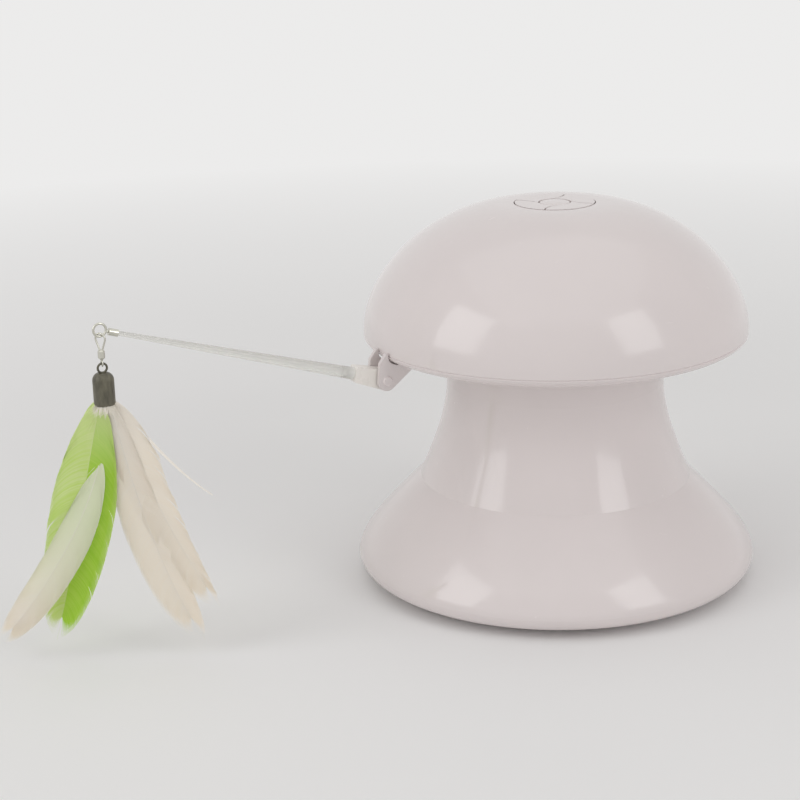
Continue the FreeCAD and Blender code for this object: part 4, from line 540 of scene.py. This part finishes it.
class Feather(Ribbons):
    """One feather: a quill, a web of barbs on each side, and the down at its foot.

    Its path is the quill's four control places. A share is of the quill's length from the cap, and
    a side is -1 for left or 1 for right.
    """

    QUILL_RINGS = 26                  # faces along the quill
    QUILL_SIDES = 6                   # faces round it
    QUILL_END = 0.92                  # share at which it ends
    QUILL_RADIUS = 0.44               # at the cap, in millimetres
    QUILL_THINNING = 0.36             # how much of that radius it would lose over its whole length
    QUILL_DEPTH = 1.15                # its depth for a width of 1
    WEB_END = 0.93                    # share at which the last barbs start
    BARBS = 180                       # on each side
    BARB_SPANS = 6                    # faces along one barb
    BARB_WIDTH = mm(1.3)
    BARB_TAPER = 0.5                  # share of its width that a barb has lost at its end
    BARB_TILT = 0.2                   # radians that a barb's face is turned towards the front
    BARB_FORWARD = mm(0.3)            # how far in front of the quill the lowest barbs start
    CLUMP = (5, 14)                   # fewest and most barbs in a clump
    CLUMP_LOFT = 0.3                  # how far a clump's edge may stand off the vane, in millimetres
    TONE_SPREAD = 0.12                # how far a barb's tone may be from its side's
    DOWN_BARBS = 26
    DOWN_ZONE = 0.10                  # share of the quill that the down grows on
    DOWN_LENGTH = (2.5, 6.5)          # in millimetres
    DOWN_WIDTH = mm(0.45)
    STRAY_WIDTH = mm(2.0)

    def __init__(self, name, path, halves, seed, ragged, tones, start=0.06, peak=0.5, shoulder=0.8,
                 fall=(2.2, 2.2), camber=0.12, lean=0.0, strays=()):
        super().__init__(name, seed)
        self.path = [self.spot(place) for place in path]
        self.halves = halves          # half width on the left and on the right, in millimetres
        self.start = start            # share at which the web starts
        self.peak = peak              # share at which the vane is widest
        self.shoulder = shoulder      # how soon it widens at the cap: less is sooner
        self.fall = fall              # how late each side narrows towards the tip: more is later
        self.camber = camber          # how far the vane's edges bend back, as a share of its width
        self.lean = math.radians(lean)        # how far the vane's face is turned to the right
        self.ragged = ragged          # how strongly the barbs clump on each side, from 0 to 1
        self.tones = tones            # tone of each side
        self.strays = strays          # loose barbs that stand off the vane, three places each

    def axes(self, share):
        """The quill's point at a share, its direction there, and the vane's right and front."""
        a, b, c, d = self.path
        held = min(1.0, max(0.0, share))
        rest = 1 - held
        point = a * rest**3 + b * 3 * rest**2 * held + c * 3 * rest * held**2 + d * held**3
        ahead = ((b - a) * rest**2 + (c - b) * 2 * rest * held + (d - c) * held**2).normalized()
        front = FAN_FRONT * math.cos(self.lean) + FAN_RIGHT * math.sin(self.lean)
        right = front.cross(ahead).normalized()
        return point + ahead * (share - held) * (d - a).length, ahead, right, ahead.cross(right)

    def half(self, side, share):
        """Half width of the vane on one side."""
        begun = min(1.0, max(0.0, (share - self.start) / (self.peak - self.start)))
        past = min(1.0, max(0.0, share - self.peak) / (1 - self.peak))
        widening = math.sin(begun * math.pi / 2) ** self.shoulder
        return mm(self.halves[side > 0]) * widening * math.sqrt(1 - past ** self.fall[side > 0])

    def add_barb(self, side, share, pull, reach, length, loft, tone):
        """A ribbon from the quill to the vane's edge.

        It leaves the quill nearly square to it and ends nearly along it. Its outer end lies further
        up the quill by its reach, and is drawn to the middle of its clump by the pull. Its length
        is a share of the vane's half width, and its loft is how far the end stands forward.
        """
        pairs, looks = [], []
        for step in range(self.BARB_SPANS + 1):
            out = step / self.BARB_SPANS
            along = share + reach * out**1.35 + pull * out**2
            point, ahead, right, front = self.axes(along)
            across = self.half(side, share + reach) * length * (1 - (1 - out) ** 1.5)
            forward = self.BARB_FORWARD * (1 - share) + loft * out - self.camber * across * out
            point = point + right * side * across + front * forward
            flat = ahead * math.cos(self.BARB_TILT) + front * math.sin(self.BARB_TILT)
            flat = flat * self.BARB_WIDTH * (1 - self.BARB_TAPER * out) / 2
            pairs.append((point - flat, point + flat))
            looks.append(Look(tone, out, along))
        self.ribbon(pairs, looks)

    @staticmethod
    def spread(part):
        """How far up the web a barb starts: barbs stand closer together towards the tip."""
        return 1 - (1 - part) ** 1.25

    def add_side(self, side):
        """One side of the vane, in clumps of barbs."""
        rough = self.ragged[side > 0]
        web = self.WEB_END - self.start
        index = 0
        while index < self.BARBS:
            members = range(index, min(index + self.random.randint(*self.CLUMP), self.BARBS))
            shares = [self.start + web * self.spread(member / self.BARBS) for member in members]
            knot = sum(shares) / len(shares)
            pull = self.random.uniform(0.0, 0.07 + 0.7 * rough)
            loft = mm(self.random.uniform(-self.CLUMP_LOFT, self.CLUMP_LOFT))
            length = self.random.uniform(0.992 - 0.2 * rough, 1.0)
            for share in shares:
                own = length * self.random.uniform(0.992, 1.004)
                tone = self.tones[side > 0] + self.random.uniform(-self.TONE_SPREAD, self.TONE_SPREAD)
                reach = 0.17 - 0.09 * share
                self.add_barb(side, share, pull * (knot - share), reach, own, loft, tone)
            index = members[-1] + 1

    def add_down(self):
        """Loose curling barbs at the foot of the vane, and the strays."""
        draw = self.random.uniform
        for _ in range(self.DOWN_BARBS):
            side = self.random.choice((-1, 1))
            share = draw(self.start, self.start + self.DOWN_ZONE)
            point, ahead, right, front = self.axes(share)
            heading = right * side * draw(0.4, 0.8) + ahead * draw(0.6, 1.2)
            heading = (heading + front * draw(-0.4, 0.4)).normalized()
            length = mm(draw(*self.DOWN_LENGTH))
            curl = ahead * draw(0.2, 0.8) + front * draw(-0.3, 0.3)
            bend = point + heading * length * 0.6
            end = point + (heading + curl) * length
            look = Look(tone=0.0, across=0.9, along=share)
            self.add_thread(point, bend, end, self.DOWN_WIDTH, look)
        for places in self.strays:
            start, bend, end = (self.spot(place) for place in places)
            look = Look(tone=0.1, across=0.6, along=0.5)
            self.add_thread(start, bend, end, self.STRAY_WIDTH, look)

    def add_quill(self):
        """The tapering shaft, from inside the cap to near the tip."""
        first = len(self.corners)
        for ring in range(self.QUILL_RINGS + 1):
            share = self.QUILL_END * ring / self.QUILL_RINGS
            point, _, right, front = self.axes(share)
            radius = mm(self.QUILL_RADIUS - self.QUILL_THINNING * share)
            for side in range(self.QUILL_SIDES):
                angle = 2 * math.pi * side / self.QUILL_SIDES
                offset = right * math.cos(angle) + front * math.sin(angle) * self.QUILL_DEPTH
                self.corners.append(point + offset * radius)
                self.looks.append(Look(tone=0.3, across=0.0, along=share, quill=1.0))
        for ring in range(self.QUILL_RINGS):
            near = first + ring * self.QUILL_SIDES
            far = near + self.QUILL_SIDES
            for side in range(self.QUILL_SIDES):
                after = (side + 1) % self.QUILL_SIDES
                self.faces.append((near + side, near + after, far + after, far + side))
        last = first + self.QUILL_RINGS * self.QUILL_SIDES
        self.faces.append(tuple(first + side for side in reversed(range(self.QUILL_SIDES))))
        self.faces.append(tuple(last + side for side in range(self.QUILL_SIDES)))

    def make(self, material, slot):
        self.add_quill()
        for side in (-1, 1):
            self.add_side(side)
        self.add_down()
        return self.build(material, slot)


GREEN_FEATHERS = (
    Feather("green_feather_front", [(-0.6, -6, 0.5), (-8, 22, 3), (-15.5, 64, 4), (-27, 101, 1)],
            halves=(13.4, 13.6), seed=11, peak=0.52, shoulder=0.85, fall=(2.4, 1.8), camber=0.20,
            ragged=(0.08, 0.02), tones=(0.18, 0.85)),
    Feather("green_feather_back", [(-1.2, -6, -0.8), (-9, 20, -4), (-14, 52, -6), (-24, 89, -2)],
            halves=(11, 11), seed=12, camber=0.15, lean=-15, ragged=(0.2, 0.1), tones=(0.45, 0.6)),
)
WHITE_FEATHERS = (
    Feather("white_feather_front", [(-1, -6, -2), (3, 32, -1), (-23, 72, 20), (-50, 101.5, 5)],
            halves=(7.3, 7.9), seed=21, start=0.25, peak=0.56, shoulder=0.85, fall=(3.0, 2.6),
            camber=0.25, lean=-10, ragged=(0.03, 0.01), tones=(0.35, 0.5)),
    Feather("white_feather_right", [(1.2, -6, 0.4), (7, 26, -1), (15, 68, -1), (34, 101, -1)],
            halves=(11.2, 7.5), seed=22, peak=0.6, shoulder=0.6, fall=(2.4, 2.0),
            ragged=(0.01, 0.03), tones=(0.4, 0.5)),
    Feather("white_feather_outer", [(1.8, -6, -0.5), (9, 20, -1), (22, 57, -1.8), (41, 86, -1.2)],
            halves=(9.5, 9.0), seed=23, peak=0.36, shoulder=0.95, fall=(5.0, 0.75), lean=8,
            ragged=(0.02, 0.45), tones=(0.6, 0.4),
            strays=[[(16.8, 15.4, -1.6), (29.6, 30.2, 0), (41.5, 38.3, 0)]]),
)


def make_down(material):
    """White down that curls out all round the mouth of the cap."""
    threads, width = 460, mm(0.3)
    curl = 0.6                        # how much of a thread's length each half of its curve spans
    look = Look(tone=0.0, across=0.9, along=0.05)
    tuft = Ribbons("white_down", seed=31)
    draw = tuft.random.uniform
    for _ in range(threads):
        angle = draw(0, 2 * math.pi)
        out = FAN_RIGHT * math.cos(angle) + FAN_FRONT * math.sin(angle)
        aside = out.cross(UP)
        root = CAP_MOUTH + UP * mm(1) + out * CAP_RADIUS * draw(0.35, 0.8)
        length = mm(draw(2.0, 5.5))
        bend = root + (out * draw(0.3, 0.9) - UP * draw(0.7, 1.0)) * length * curl
        fall = out * draw(0.0, 0.8) + aside * draw(-0.7, 0.7) - UP * draw(0.2, 0.9)
        tuft.add_thread(root, bend, bend + fall * length * curl, width, look, aside)
    tuft.build(material, "white_feather")


def make_feathers():
    """The feathers of each colour, drawn while that colour's CAD node is hidden, and the tuft."""
    green = feather_material("green_feather", (0.44, 0.75, 0.05), (0.60, 0.82, 0.13), (0.80, 0.90, 0.46))
    whites = (0.96, 0.885, 0.77), (0.98, 0.92, 0.82), (0.98, 0.94, 0.87)
    white = feather_material("white_feather", *whites)
    tinged = feather_material("tinged_feather", *whites, foot=(0.86, 0.92, 0.68),
                              foot_end=0.85, foot_start=0.45)
    for node, slot, feathers in (
            ("green_feathers", "green_feather", zip(GREEN_FEATHERS, (green, green))),
            ("white_feathers", "white_feather", zip(WHITE_FEATHERS, (tinged, white, white)))):
        pieces = [feather.make(material, slot) for feather, material in feathers]
        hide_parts(node)
    make_down(white)


# ---------------------------------------------------------------------------------------------
# The scene
# ---------------------------------------------------------------------------------------------


paint_frame()
make_camera()
make_lights()
make_world()
make_floor()
make_feathers()
bpy.context.scene.view_settings.view_transform = "Standard"
bpy.context.view_layer.update()
